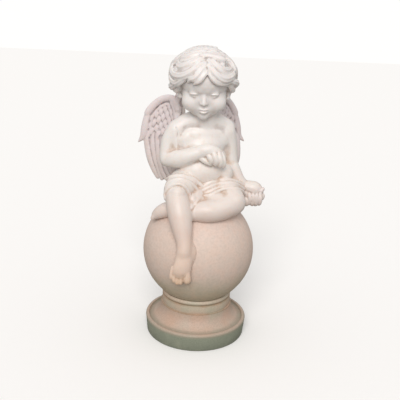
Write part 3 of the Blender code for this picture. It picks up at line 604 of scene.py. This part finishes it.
# Hair: a cap of wavy locks that fall to both sides of a parting, with curls round the ears
def add_lock(clay, places, width, wave=0.0, shape=(0.55, 0.95, 1.0, 0.85, 0.3)):
    """A lock of hair laid over the skull, with a wave in degrees to both sides of its line."""
    line = [Vector(place) for place in places]
    stations = []
    for k in range(11):
        t = k / 10
        around, up, lift = between(line, t)
        at = 4 * t
        low = min(int(at), 3)
        size = shape[low] + (shape[low + 1] - shape[low]) * (at - low)
        stations.append((*scalp(around, up + wave * math.sin(3 * math.pi * t), lift), width * size))
    middle = Vector(scalp(*places[len(places) // 2][:2], 0)) - Vector(head(*SKULL))
    add_limb(clay, stations, thin=0.72, face=middle, sides=30, steps=3, strands=7, groove=0.12)


def lay_hair_cap(clay):
    add_mass(clay, head(0, 20, 18), (70, 82, 59), (math.degrees(HEAD_TILT), 0, 0))
    for side in (-1, 1):
        add_mass(clay, head(side * 56 - 3, 22, 2 + 3 * side), (24, 42, 30))
    add_mass(clay, head(-61, 14, 13), (11, 26, 20))
    add_mass(clay, (-66, -30, 729), (13, 20, 14))
    add_mass(clay, (6, -50, 766.5), (24, 12, 9), (-14, 3, 0))
    add_mass(clay, (30, -54, 762), (21, 13, 10), (-14, 14, 0))
    add_mass(clay, head(58, 14, 13), (11, 26, 20))
    add_mass(clay, head(0, 50, -8), (58, 42, 42))
    add_mass(clay, head(0, 44, -26), (46, 33, 30))


# Each lock of the front: degrees round, degrees up and lift at five places, then its width
FRONT_LOCKS = (
    (((0, 86, -2), (-40, 78, 2), (-74, 66, 3), (-90, 50, 4), (-98, 36, 5)), 13),
    (((-4, 74, -3), (-40, 67, 2), (-66, 53, 5), (-84, 38, 8), (-95, 24, 8)), 12.5),
    (((-1, 63, -2), (-22, 55, 3), (-42, 42, 6), (-64, 29, 8), (-86, 22, 9), (-94, 12, 8)), 12),
    (((1, 54, -1), (-12, 44, 4), (-27, 31, 7), (-46, 18, 9), (-68, 8, 15), (-84, 8, 20), (-88, 16, 20)),
     10.5),
    (((4, 45, 0), (-8, 34, 5), (-19, 22, 7), (-28, 12, 7), (-36, 4, 5)), 8.5),
    (((6, 37, 1), (-1, 26, 5), (-10, 15, 6), (-17, 8, 5), (-24, 2, 4)), 6.5),
    (((-30, 24, 2), (-45, 10, 6), (-62, -2, 12), (-76, -6, 20), (-84, 0, 24)), 10),
    (((-52, 6, 3), (-66, -8, 12), (-79, -14, 22), (-84, -21, 24), (-78, -28, 20)), 10),
    (((-60, -6, 2), (-70, -17, 10), (-76, -25, 18), (-72, -31, 18)), 9),
    (((12, 86, -2), (60, 78, 0), (84, 64, -2), (92, 50, -3), (98, 38, -3)), 12.5),
    (((13, 74, -2), (40, 66, 2), (54, 53, 3), (70, 41, 2), (88, 28, 0)), 12),
    (((11, 61, -2), (22, 49, 4), (36, 36, 7), (54, 27, 5), (76, 20, 2), (86, 26, 0)), 11.5),
    (((9, 48, 0), (16, 34, 5), (30, 21, 8), (50, 13, 9), (72, 9, 9), (84, 14, 8)), 10.5),
    (((8, 38, 1), (12, 26, 4), (22, 14, 6), (38, 6, 6), (58, 2, 8), (74, 2, 11)), 8),
    (((46, 8, 3), (64, 0, 9), (80, -5, 15), (84, -13, 18), (78, -20, 15)), 9),
    (((54, -4, 2), (68, -13, 8), (78, -21, 15), (74, -28, 13)), 8.5),
)
CURL = ((28, 56, 5), (42, 60, 6), (54, 54, 7), (54, 44, 8), (42, 40, 8), (34, 47, 7))


def lay_back_lock(clay, side, i):
    """One of the long locks that fall from the crown round the sides and the back to the nape."""
    around = side * (96 + 17 * i)
    out = (7 if side < 0 else 0) * (1 - i / 5)
    sink = 5 if side > 0 and i < 3 else 0
    sway = 5
    add_lock(clay, [(around + sway, 78, -3), (around - sway, 60, 2 - sink), (around + sway, 40, 5 - sink),
                    (around - sway, 18, 8 + out - 0.4 * sink), (around + sway, -4, 9 + out),
                    (around - sway, -24, 10 + out), (around, -38 - 3 * i, 6 + 1.6 * i)], 14.5, 1.5)
    if i > 1:
        add_lock(clay, [(around + 8, -12, 4), (around + 8 + sway, -30, 13), (around + 6 - sway, -46, 17),
                        (around + 4, -62, 16)], 13, 1.5)


def lay_hair(clay):
    for places, width in FRONT_LOCKS:
        add_lock(clay, places, width, 2.6 if width > 8 else 1.0)
    add_lock(clay, CURL, 6.5, 0, (0.6, 0.9, 1.0, 0.9, 0.6))
    add_mass(clay, scalp(42, 50, 1), (9, 9, 9))
    for side in (-1, 1):
        for i in range(6):
            lay_back_lock(clay, side, i)
    for i in range(5):
        around = 125 + 28 * i
        add_lock(clay, [(around - 14, 88, -4), (around - 5, 76, -1), (around, 64, 1),
                        (around + 4, 50, 2)], 12)


# Creases of the body: between the bent arm and the chest, and beside the big toe
ARM_CREASE = ((-70, -33, 584), (-66, -35, 569), (-66, -36, 557), (-63, -36, 541), (-60, -37, 530))
TOE_CREASE = ((-35, -174, 236), (-34, -170, 222), (-33, -164, 212))


def score_body(clay):
    score(clay, ARM_CREASE, 6, 2.2)
    score(clay, TOE_CREASE, 4, 1.6)


def build_cherub():
    clay = bmesh.new()
    lay_trunk(clay)
    lay_arms(clay)
    lay_legs(clay)
    lay_skull(clay)
    clay = reopen(run_together(clay, "masses", MASS_CELL, 30))
    press_face(clay)
    lay_face(clay)
    lay_cloth(clay)
    lay_hair_cap(clay)
    for side in (-1, 1):
        lay_wing_blade(clay, side)
    clay = reopen(run_together(clay, "forms", FORM_CELL, 6))
    lay_toes(clay)
    lay_hands(clay)
    lay_folds(clay)
    lay_knees(clay)
    lay_ears(clay)
    lay_features(clay)
    lay_hair(clay)
    for side in (-1, 1):
        lay_primaries(clay, side)
        lay_coverts(clay, side)
    clay = reopen(run_together(clay, "skin", SKIN_CELL, 1))
    clay.normal_update()
    score_face(clay)
    score_body(clay)
    return run_together(clay, "cherub_skin", SKIN_CELL, 2)


def trim_to_box(thing):
    """Draws the carving in by a hair, so that it stays inside its solid's box."""
    low = [min(v.co[k] for v in thing.data.vertices) for k in range(3)]
    high = [max(v.co[k] for v in thing.data.vertices) for k in range(3)]
    across, deep = [min(1.0, (cad_bounds[0][k] + FIT_GAP) / low[k], (cad_bounds[1][k] - FIT_GAP) / high[k])
                    for k in range(2)]
    tall = min(1.0, (cad_bounds[1][2] - FIT_GAP - BALL_Z) / (high[2] - BALL_Z))
    for v in thing.data.vertices:
        v.co = (v.co.x * across, v.co.y * deep, BALL_Z + (v.co.z - BALL_Z) * tall)


def bed_on_ball(thing):
    """Keeps the skin a fit gap clear of the ball it sits on."""
    middle = Vector((0, 0, BALL_Z))
    clear = BALL_RADIUS + FIT_GAP
    for v in thing.data.vertices:
        out = v.co - middle
        if out.length < clear:
            v.co = middle + out.normalized() * clear


def thin_out(thing, triangles):
    faces = sum(len(p.vertices) - 2 for p in thing.data.polygons)
    if faces > triangles:
        thin = thing.modifiers.new("Thin out", "DECIMATE")
        thin.ratio = triangles / faces
        thin.use_collapse_triangulate = True
        settle(thing)


# The crease colour, partly ochre wash and partly painted shade: steps of easing that find fine and broad
# hollows, and their full depths in millimetres
FINE_STEPS = 6
BROAD_STEPS = 60
FINE_DEPTH = 0.35
BROAD_DEPTH = 2.2


def note_hollows(thing):
    """Stores how deep each point lies in a crease, for the crease colour: ochre wash and painted shade."""
    mesh = thing.data
    count = len(mesh.vertices)
    places = np.empty(count * 3, dtype=np.float32)
    mesh.vertices.foreach_get("co", places)
    places = places.reshape(-1, 3).astype(np.float64)
    normals = np.empty(count * 3, dtype=np.float32)
    mesh.vertex_normals.foreach_get("vector", normals)
    normals = normals.reshape(-1, 3)
    ends = np.empty(len(mesh.edges) * 2, dtype=np.int32)
    mesh.edges.foreach_get("vertices", ends)
    ends = ends.reshape(-1, 2)
    links = np.zeros(count)
    np.add.at(links, ends[:, 0], 1)
    np.add.at(links, ends[:, 1], 1)
    eased = places.copy()
    found = {}
    for step in range(1, BROAD_STEPS + 1):
        total = np.zeros_like(eased)
        for axis in range(3):
            total[:, axis] = np.bincount(ends[:, 0], eased[ends[:, 1], axis], count)
            total[:, axis] += np.bincount(ends[:, 1], eased[ends[:, 0], axis], count)
        eased = 0.5 * eased + 0.5 * total / np.maximum(links, 1)[:, None]
        if step in (FINE_STEPS, BROAD_STEPS):
            found[step] = np.einsum("ij,ij->i", eased - places, normals) / UNIT
    fine = np.clip(found[FINE_STEPS] / FINE_DEPTH, 0, 1)
    broad = np.clip(found[BROAD_STEPS] / BROAD_DEPTH, 0, 1)
    # Less of the crease wash and painted shade is put on the face
    face = np.array(spot(*head(0, -52, -18)))
    near = np.clip(1.5 - np.linalg.norm(places - face, axis=1) / (34 * UNIT), 0, 1)
    fine *= 1 - 0.6 * near
    broad *= 1 - 0.75 * near
    layer = mesh.attributes.new("crease", "FLOAT", "POINT")
    layer.data.foreach_set("value", np.maximum(fine * 0.8, broad).astype(np.float32))


def note_wing_tint_and_shade(thing):
    """Marks the wings and the far hand for a greyer colour: partly their own tint, partly painted shade."""
    mesh = thing.data
    layer = mesh.attributes.new("wing_tint_and_shade", "FLOAT", "POINT")
    values = np.zeros(len(mesh.vertices), dtype=np.float32)
    for i, v in enumerate(mesh.vertices):
        best = 0.0
        for side in (-1, 1):
            root = Vector(wing(side, 26, 500, 4))
            tip = Vector(wing(side, 120, 500, 4))
            out = (tip - root).xy.normalized()
            here = Vector((v.co.x / UNIT, v.co.y / UNIT)) - root.xy
            along = here.dot(out)
            off = abs(here.x * out.y - here.y * out.x)
            up = (v.co.z - BALL_Z) / UNIT + DRAWN_BALL_Z
            if along > 0 and off < 34 and 405 < up < 652:
                best = max(best, min(along / 22, 1))
        beyond = (v.co.x / UNIT - 96) / 60
        if v.co.y > -0.03 and v.co.z < spot(0, 0, 425)[2]:
            best = max(best, 0.8 * min(max(beyond, 0), 1))
        values[i] = best
    layer.data.foreach_set("value", values)


# The ball: a sphere with a stippled skin, worked with a coarse roller before the cast set
def build_ball():
    clear_selection()
    bpy.ops.mesh.primitive_ico_sphere_add(subdivisions=7, radius=BALL_RADIUS, location=(0, 0, BALL_Z))
    ball = bpy.context.object
    ball.name = "stippled_ball"
    bpy.ops.object.transform_apply(location=True, rotation=True, scale=True)
    middle = Vector((0, 0, BALL_Z))
    for v in ball.data.vertices:
        out = (v.co - middle).normalized()
        here = out * DRAWN_BALL_RADIUS
        dents = noise.noise(here / 5.2) + 0.6 * noise.noise(here / 2.9 + Vector((40, 0, 0)))
        sway = noise.noise(here / 60)
        depth = 0.45 + 0.35 * dents + 0.5 * max(sway, 0)
        v.co = middle + out * (BALL_RADIUS - 0.001 * min(max(depth, 0), 1.4) * UNIT)
    bpy.ops.object.shade_smooth()
    return ball


# The turned base, drawn up ring by ring from its underside
def base_profile():
    """Radii and heights in metres from the foot to the edge of the ball's seat."""
    r = BASE_RADIUS
    wall = WALL_HEIGHT
    lip = r - LIP_WIDTH
    ring = RING_RADIUS
    foot = ring + 0.0025
    ring_foot = RING_FOOT_HEIGHT
    low = wall - 0.0045
    line = [(r - 0.0070, 0), (r - 0.0052, 0.0006), (r - 0.0044, 0.0022), (r - 0.0022, 0.022),
            (r - 0.0006, 0.0385)]
    for k in range(7):
        a = math.pi / 2 * k / 6
        line.append((r - 0.0060 + 0.0060 * math.cos(a), wall - 0.0060 + 0.0060 * math.sin(a)))
    for k in range(5):
        a = math.pi / 2 * k / 4
        line.append((lip + 0.0022 * (1 - math.sin(a)), wall - 0.0032 * (1 - math.cos(a))))
    line.append((lip - 0.0006, low))
    for k in range(1, 19):
        t = k / 18
        inward = math.sin(math.pi / 2 * t) ** 0.9
        line.append((lip - (lip - foot) * inward, low + (ring_foot - low) * t ** 1.7))
    line += [(foot - 0.0012, ring_foot + 0.0010), (ring - 0.0014, ring_foot + 0.0014),
             (ring - 0.0010, ring_foot + 0.0035), (ring - 0.0009, SEAT_HEIGHT - 0.0170)]
    line += [(ring - 0.0018, SEAT_HEIGHT - 0.0150), (ring - 0.0032, SEAT_HEIGHT - 0.0138),
             (ring - 0.0030, SEAT_HEIGHT - 0.0122)]
    for k in range(9):
        a = math.pi * (k / 8 - 0.5)
        line.append((ring - 0.0050 + 0.0050 * math.cos(a), SEAT_HEIGHT - 0.0058 + 0.0058 * math.sin(a)))
    return line


def build_base():
    line = base_profile()
    clear_selection()
    bpy.ops.mesh.primitive_circle_add(vertices=TURNED_SEGMENTS, radius=line[0][0], fill_type="NGON",
                                      location=(0, 0, line[0][1]))
    base = bpy.context.object
    base.name = "turned_base"
    bpy.ops.object.transform_apply(location=True, rotation=True, scale=True)
    bpy.ops.object.mode_set(mode="EDIT")
    bpy.ops.mesh.select_all(action="SELECT")
    seat = BALL_RADIUS + FIT_GAP
    rim = math.sqrt(seat ** 2 - (BALL_Z - SEAT_HEIGHT) ** 2)
    line = line + [(rim + 0.0006, SEAT_HEIGHT)]
    for k in range(1, 10):
        r = rim * (1 - k / 10)
        line.append((r, BALL_Z - math.sqrt(seat ** 2 - r ** 2)))
    for (r0, z0), (r1, z1) in zip(line, line[1:]):
        bpy.ops.mesh.extrude_region_move(TRANSFORM_OT_translate={"value": (0, 0, z1 - z0)})
        bpy.ops.transform.resize(value=(r1 / r0, r1 / r0, 1), center_override=(0, 0, z1))
    bpy.ops.mesh.select_all(action="SELECT")
    bpy.ops.mesh.normals_make_consistent(inside=False)
    bpy.ops.object.mode_set(mode="OBJECT")
    for v in base.data.vertices:
        out = Vector((v.co.x, v.co.y, 0))
        if 0.003 < v.co.z and out.length > rim + 0.001:
            uneven = 0.00022 * noise.noise(v.co * 28) + 0.00010 * noise.noise(v.co * 140)
            v.co -= out.normalized() * (0.00025 + uneven)
    bpy.ops.object.shade_smooth_by_angle(angle=math.radians(40))
    return base


# Finishes
def linear(hex_colour):
    """An sRGB hex colour as linear red, green and blue with full cover."""
    parts = [int(hex_colour[i:i + 2], 16) / 255 for i in (1, 3, 5)]
    return (*[p / 12.92 if p <= 0.04045 else ((p + 0.055) / 1.055) ** 2.4 for p in parts], 1)


def add(tree, kind, settings=None, **links):
    """Adds a node; settings holds its properties and socket values, links what feeds each socket."""
    node = tree.nodes.new(kind)
    for name, value in (settings or {}).items():
        if isinstance(name, str) and hasattr(node, name):
            setattr(node, name, value)
        else:
            node.inputs[name].default_value = value
    for name, source in links.items():
        key = int(name[1:]) if name[0] == "_" else name
        tree.links.new(source, node.inputs[key])
    return node


def ramp(tree, source, stops):
    """A colour ramp through (place, colour) stops."""
    node = add(tree, "ShaderNodeValToRGB", Fac=source)
    band = node.color_ramp
    while len(band.elements) < len(stops):
        band.elements.new(0.5)
    for element, (place, colour) in zip(band.elements, stops):
        element.position = place
        element.color = linear(colour) if isinstance(colour, str) else (colour, colour, colour, 1)
    return node.outputs["Color"]


def feed(tree, socket, value):
    """Feeds a socket from another one, or sets it to a number or an sRGB hex colour."""
    if isinstance(value, bpy.types.NodeSocket):
        tree.links.new(value, socket)
    elif isinstance(value, str):
        socket.default_value = linear(value)
    else:
        socket.default_value = value


def mix(tree, factor, first, second, blend="MIX"):
    node = add(tree, "ShaderNodeMix", {"data_type": "RGBA", "blend_type": blend})
    for socket, value in ((0, factor), (6, first), (7, second)):
        feed(tree, node.inputs[socket], value)
    return node.outputs[2]


def cloudy(tree, place, scale, detail, roughness=0.5):
    """Noise from 0 to 1, its scale in cells to the metre."""
    settings = {"Scale": scale, "Detail": detail, "Roughness": roughness}
    return add(tree, "ShaderNodeTexNoise", settings, Vector=place).outputs["Fac"]


def spread(tree, value, low, high, start=0.0, end=1.0):
    """Carries a value from between low and high to between start and end."""
    settings = {"From Min": low, "From Max": high, "To Min": start, "To Max": end}
    return add(tree, "ShaderNodeMapRange", settings, Value=value).outputs[0]


def times(tree, first, second):
    """The product of two values, held between 0 and 1."""
    node = add(tree, "ShaderNodeMath", {"operation": "MULTIPLY", "use_clamp": True}, _0=first)
    feed(tree, node.inputs[1], second)
    return node.outputs[0]


def times_plus(tree, first, factor, base):
    node = add(tree, "ShaderNodeMath", {"operation": "MULTIPLY_ADD", 1: factor}, _0=first)
    feed(tree, node.inputs[2], base)
    return node.outputs[0]


def seen_by_camera(tree):
    return add(tree, "ShaderNodeLightPath").outputs["Is Camera Ray"]


def roughen(tree, shader, height, strength, depth):
    """Small relief of a depth in metres that the mesh doesn't hold."""
    bump = add(tree, "ShaderNodeBump", {"Strength": strength, "Distance": depth}, Height=height)
    tree.links.new(bump.outputs[0], shader.inputs["Normal"])


STONE_IOR = 1.5


def new_finish(name):
    coat = bpy.data.materials.new(name)
    coat.use_nodes = True
    tree = coat.node_tree
    return coat, tree, tree.nodes["Principled BSDF"]


def rubbed_ivory_marble():
    """Resin-bonded marble dust, cast, washed with thin ochre and rubbed back: ivory and soft on the head and
    chest, darker and peach towards the feet, with a satin glow, warm creases, and cooler wings and far hand.
    The darkening towards the feet, in the creases and on the wings is partly the stone's own tone and wash,
    partly painted shade."""
    coat, tree, shader = new_finish("Resin-bonded marble, ochre wash, hand rubbed")
    place = add(tree, "ShaderNodeTexCoord").outputs["Object"]
    height = add(tree, "ShaderNodeSeparateXYZ", Vector=place).outputs["Z"]
    crease = add(tree, "ShaderNodeAttribute", {"attribute_name": "crease"}).outputs["Fac"]
    wing_tint_and_shade = add(tree, "ShaderNodeAttribute", {"attribute_name": "wing_tint_and_shade"}).outputs["Fac"]
    # Clouds of wash some 60 mm across sway the change from foot to head. Darker and more peach towards the
    # feet is partly the stone's own tone, partly painted shade under the top light and painted bounce light
    # from the ball
    cloud = cloudy(tree, place, 16.0, 4.0)
    level = spread(tree, times_plus(tree, cloud, 0.16, height), 0.27, 0.77)
    skin = ramp(tree, level, ((0.0, "#DDC0A6"), (0.14, "#E1C9B8"), (0.28, "#DDCAC0"), (0.44, "#E2D7D1"),
                              (0.60, "#EAE5E1"), (1.0, "#EBE7E6")))
    # The wings and the far hand are greyer, and darker lower down: partly their tint, partly painted shade
    feather = ramp(tree, level, ((0.30, "#CCC1BC"), (0.48, "#DED4D1"), (0.70, "#E9DEDF")))
    skin = mix(tree, wing_tint_and_shade, skin, feather)
    # Small smudges of wash some 15 mm across that the cloth left
    smudge = cloudy(tree, place, 62.0, 5.0, 0.6)
    skin = mix(tree, spread(tree, smudge, 0.50, 0.78, 0.0, 0.34), skin, "#DCC3B2")
    # The creases hold more of it, patchily, and the feathers most: ochre wash and painted shade in the
    # hollows
    crease_wash_and_shade = times(tree, spread(tree, crease, 0.14, 1.0, 0.0, 0.60), smudge)
    crease_wash_and_shade = times(tree, crease_wash_and_shade, 1.6)
    crease_wash_and_shade = times(tree, crease_wash_and_shade, times_plus(tree, wing_tint_and_shade, 0.4, 1.0))
    # Brown in the folds and joints, greyer up in the hair, and grey in the feathers: partly ochre wash,
    # partly painted shade
    wash_and_shade_colour = ramp(tree, level, ((0.0, "#B08A68"), (0.62, "#B58F6E"), (0.78, "#8F7C74"), (1.0, "#95847C")))
    skin = mix(tree, crease_wash_and_shade, skin, mix(tree, wing_tint_and_shade, wash_and_shade_colour, "#75686A"))
    tree.links.new(skin, shader.inputs["Base Color"])
    # Marble grit of about 2 mm breaks the satin
    grain = cloudy(tree, place, 420.0, 3.0)
    tree.links.new(spread(tree, smudge, 0.3, 0.7, 0.36, 0.50), shader.inputs["Roughness"])
    roughen(tree, shader, grain, 0.14, 0.0005)
    shader.inputs["IOR"].default_value = STONE_IOR
    shader.inputs["Subsurface Weight"].default_value = 0.15
    shader.inputs["Subsurface Radius"].default_value = (0.006, 0.004, 0.003)
    shader.inputs["Subsurface Scale"].default_value = 1.0
    return coat


def stippled_buff_stone():
    """Cast stone rolled to a hammered stipple: matt, pinkish buff, a little darker in the dents, and darker
    and grey-green towards the foot of the ball, which is painted shade and painted green bounce light."""
    coat, tree, shader = new_finish("Cast stone, buff, hammered stipple")
    place = add(tree, "ShaderNodeTexCoord").outputs["Object"]
    height = add(tree, "ShaderNodeSeparateXYZ", Vector=place).outputs["Z"]
    # Clouds some 75 mm across sway the change; darker and greener towards the foot of the ball is painted
    # shade and painted green bounce light
    cloud = cloudy(tree, place, 13.0, 4.0)
    level = spread(tree, times_plus(tree, cloud, 0.09, height), 0.15, 0.42)
    body = ramp(tree, level, ((0.0, "#B3AC92"), (0.20, "#C3B8A2"), (0.42, "#D6C3B7"), (0.70, "#DDC9BD"),
                              (1.0, "#E0CDC4")))
    # Patches of wash some 20 mm across: peach where it was wiped, greyer where it stayed
    patch = cloudy(tree, place, 48.0, 6.0, 0.62)
    body = mix(tree, spread(tree, patch, 0.46, 0.76, 0.0, 0.34), body, "#D9B8A3")
    body = mix(tree, spread(tree, patch, 0.54, 0.26, 0.0, 0.30), body, "#BDB6AC")
    # Dents of about 6 mm, as a hammered roller leaves them
    dents = cloudy(tree, place, 165.0, 2.0)
    body = mix(tree, 1.0, body, ramp(tree, dents, ((0.34, 0.925), (0.60, 1.0))), "MULTIPLY")
    tree.links.new(body, shader.inputs["Base Color"])
    shader.inputs["Roughness"].default_value = 0.6
    shader.inputs["IOR"].default_value = STONE_IOR
    roughen(tree, shader, dents, 0.5, 0.0014)
    return coat


def washed_and_shaded_buff_stone():
    """Cast stone turned smooth in its mould: pinkish beige in the dish, peach where the wash was wiped thin,
    darker grey-green down the outer wall, which is painted shade and painted green bounce light, and a dark
    painted shadow line in each groove."""
    coat, tree, shader = new_finish("Cast stone, buff, wash and painted grey-green shade")
    place = add(tree, "ShaderNodeTexCoord").outputs["Object"]
    height = add(tree, "ShaderNodeSeparateXYZ", Vector=place).outputs["Z"]
    # Clouds of wash some 50 mm across; the colours follow the turned steps up from the ground
    cloud = cloudy(tree, place, 20.0, 5.0)
    level = spread(tree, height, 0.0, SEAT_HEIGHT)
    # The dark grey-green outer wall is painted shade and painted green bounce light; the dark brown steps at
    # 0.705 and 0.895 are painted shadow lines at the foot of the ring and in the groove under its lip
    body = ramp(tree, level, ((0.0, "#868C7D"), (0.30, "#929887"), (0.345, "#A09A89"), (0.375, "#AEA090"),
                              (0.40, "#C2AE9E"), (0.55, "#C3AD9E"), (0.69, "#BDAB9B"), (0.705, "#9C8068"),
                              (0.73, "#BDB09E"), (0.85, "#BFB29F"), (0.895, "#9A8268"), (0.93, "#C3B6A2"),
                              (1.0, "#CDBFAE")))
    inner = spread(tree, level, 0.34, 0.42, 0.0, 0.45)
    peach = times(tree, spread(tree, cloud, 0.46, 0.68), inner)
    body = mix(tree, peach, body, "#C9A48C")
    body = mix(tree, spread(tree, cloud, 0.48, 0.30, 0.0, 0.42), body, "#AEB09C")
    # Sand grain of about 3 mm in the cast skin
    grain = cloudy(tree, place, 330.0, 4.0)
    body = mix(tree, 1.0, body, ramp(tree, grain, ((0.32, 0.84), (0.60, 1.0))), "MULTIPLY")
    tree.links.new(body, shader.inputs["Base Color"])
    tree.links.new(spread(tree, cloud, 0.3, 0.7, 0.46, 0.62), shader.inputs["Roughness"])
    shader.inputs["IOR"].default_value = STONE_IOR
    roughen(tree, shader, grain, 0.25, 0.0005)
    return coat


def dress(piece, node, finish):
    """Hands a finished piece to the frame in place of its solid."""
    piece.data.materials.clear()
    piece.data.materials.append(finish)
    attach(piece, "root")
    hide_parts(node)


# The picture: camera at the photograph's angle, a pale floor and soft studio light
CAMERA_PLACE = (-0.0005, -1.70, 0.9466)
CAMERA_DIP = 0.321
CAMERA_ROLL = 0.042
CAMERA_LENS = 60.07
KEY_STRENGTH = 1.9
KEY_SPREAD = math.radians(32)
KEY_DIRECTION = (0.07, 0.79, -0.61)
ROOM_LIGHT = 0.60
PAPER_WHITE = 1.02


def place_camera():
    sight = bpy.data.cameras.new("Camera")
    sight.sensor_width = 36
    sight.lens = CAMERA_LENS
    camera = bpy.data.objects.new("Camera", sight)
    bpy.context.scene.collection.objects.link(camera)
    turn = Matrix.Rotation(math.radians(90) - CAMERA_DIP, 4, "X") @ Matrix.Rotation(CAMERA_ROLL, 4, "Z")
    camera.matrix_world = Matrix.Translation(CAMERA_PLACE) @ turn
    bpy.context.scene.camera = camera
    bpy.context.scene.view_settings.view_transform = "Standard"


def set_stage():
    clear_selection()
    bpy.ops.mesh.primitive_plane_add(size=14, location=(0, 0, -0.0005))
    floor = bpy.context.object
    floor.name = "floor"
    pale, tree, shader = new_finish("Pale paper floor")
    # White paper to the camera, but it throws back less light, as a cut-out has no ground under it
    tree.links.new(mix(tree, seen_by_camera(tree), "#9D9A95", "#FFFFFF"), shader.inputs["Base Color"])
    shader.inputs["Roughness"].default_value = 0.9
    shader.inputs["Specular IOR Level"].default_value = 0.0
    floor.data.materials.append(pale)
    sky = bpy.data.worlds.new("Studio")
    sky.use_nodes = True
    tree = sky.node_tree
    glow = spread(tree, seen_by_camera(tree), 0.0, 1.0, ROOM_LIGHT, PAPER_WHITE)
    tree.nodes["Background"].inputs["Color"].default_value = linear("#FFFEFC")
    tree.links.new(glow, tree.nodes["Background"].inputs["Strength"])
    bpy.context.scene.world = sky
    key = bpy.data.lights.new("Soft key from the front and above", "SUN")
    key.energy = KEY_STRENGTH
    key.angle = KEY_SPREAD
    key.color = linear("#FFFAF6")[:3]
    holder = bpy.data.objects.new(key.name, key)
    bpy.context.scene.collection.objects.link(holder)
    holder.rotation_euler = Vector(KEY_DIRECTION).to_track_quat("-Z", "Y").to_euler()


cherub = build_cherub()
trim_to_box(cherub)
bed_on_ball(cherub)
thin_out(cherub, SKIN_TRIANGLES)
note_hollows(cherub)
note_wing_tint_and_shade(cherub)
for face in cherub.data.polygons:
    face.use_smooth = True
ball = build_ball()
base = build_base()
dress(cherub, "cherub", rubbed_ivory_marble())
dress(ball, "ball", stippled_buff_stone())
dress(base, "plinth", washed_and_shaded_buff_stone())
place_camera()
set_stage()
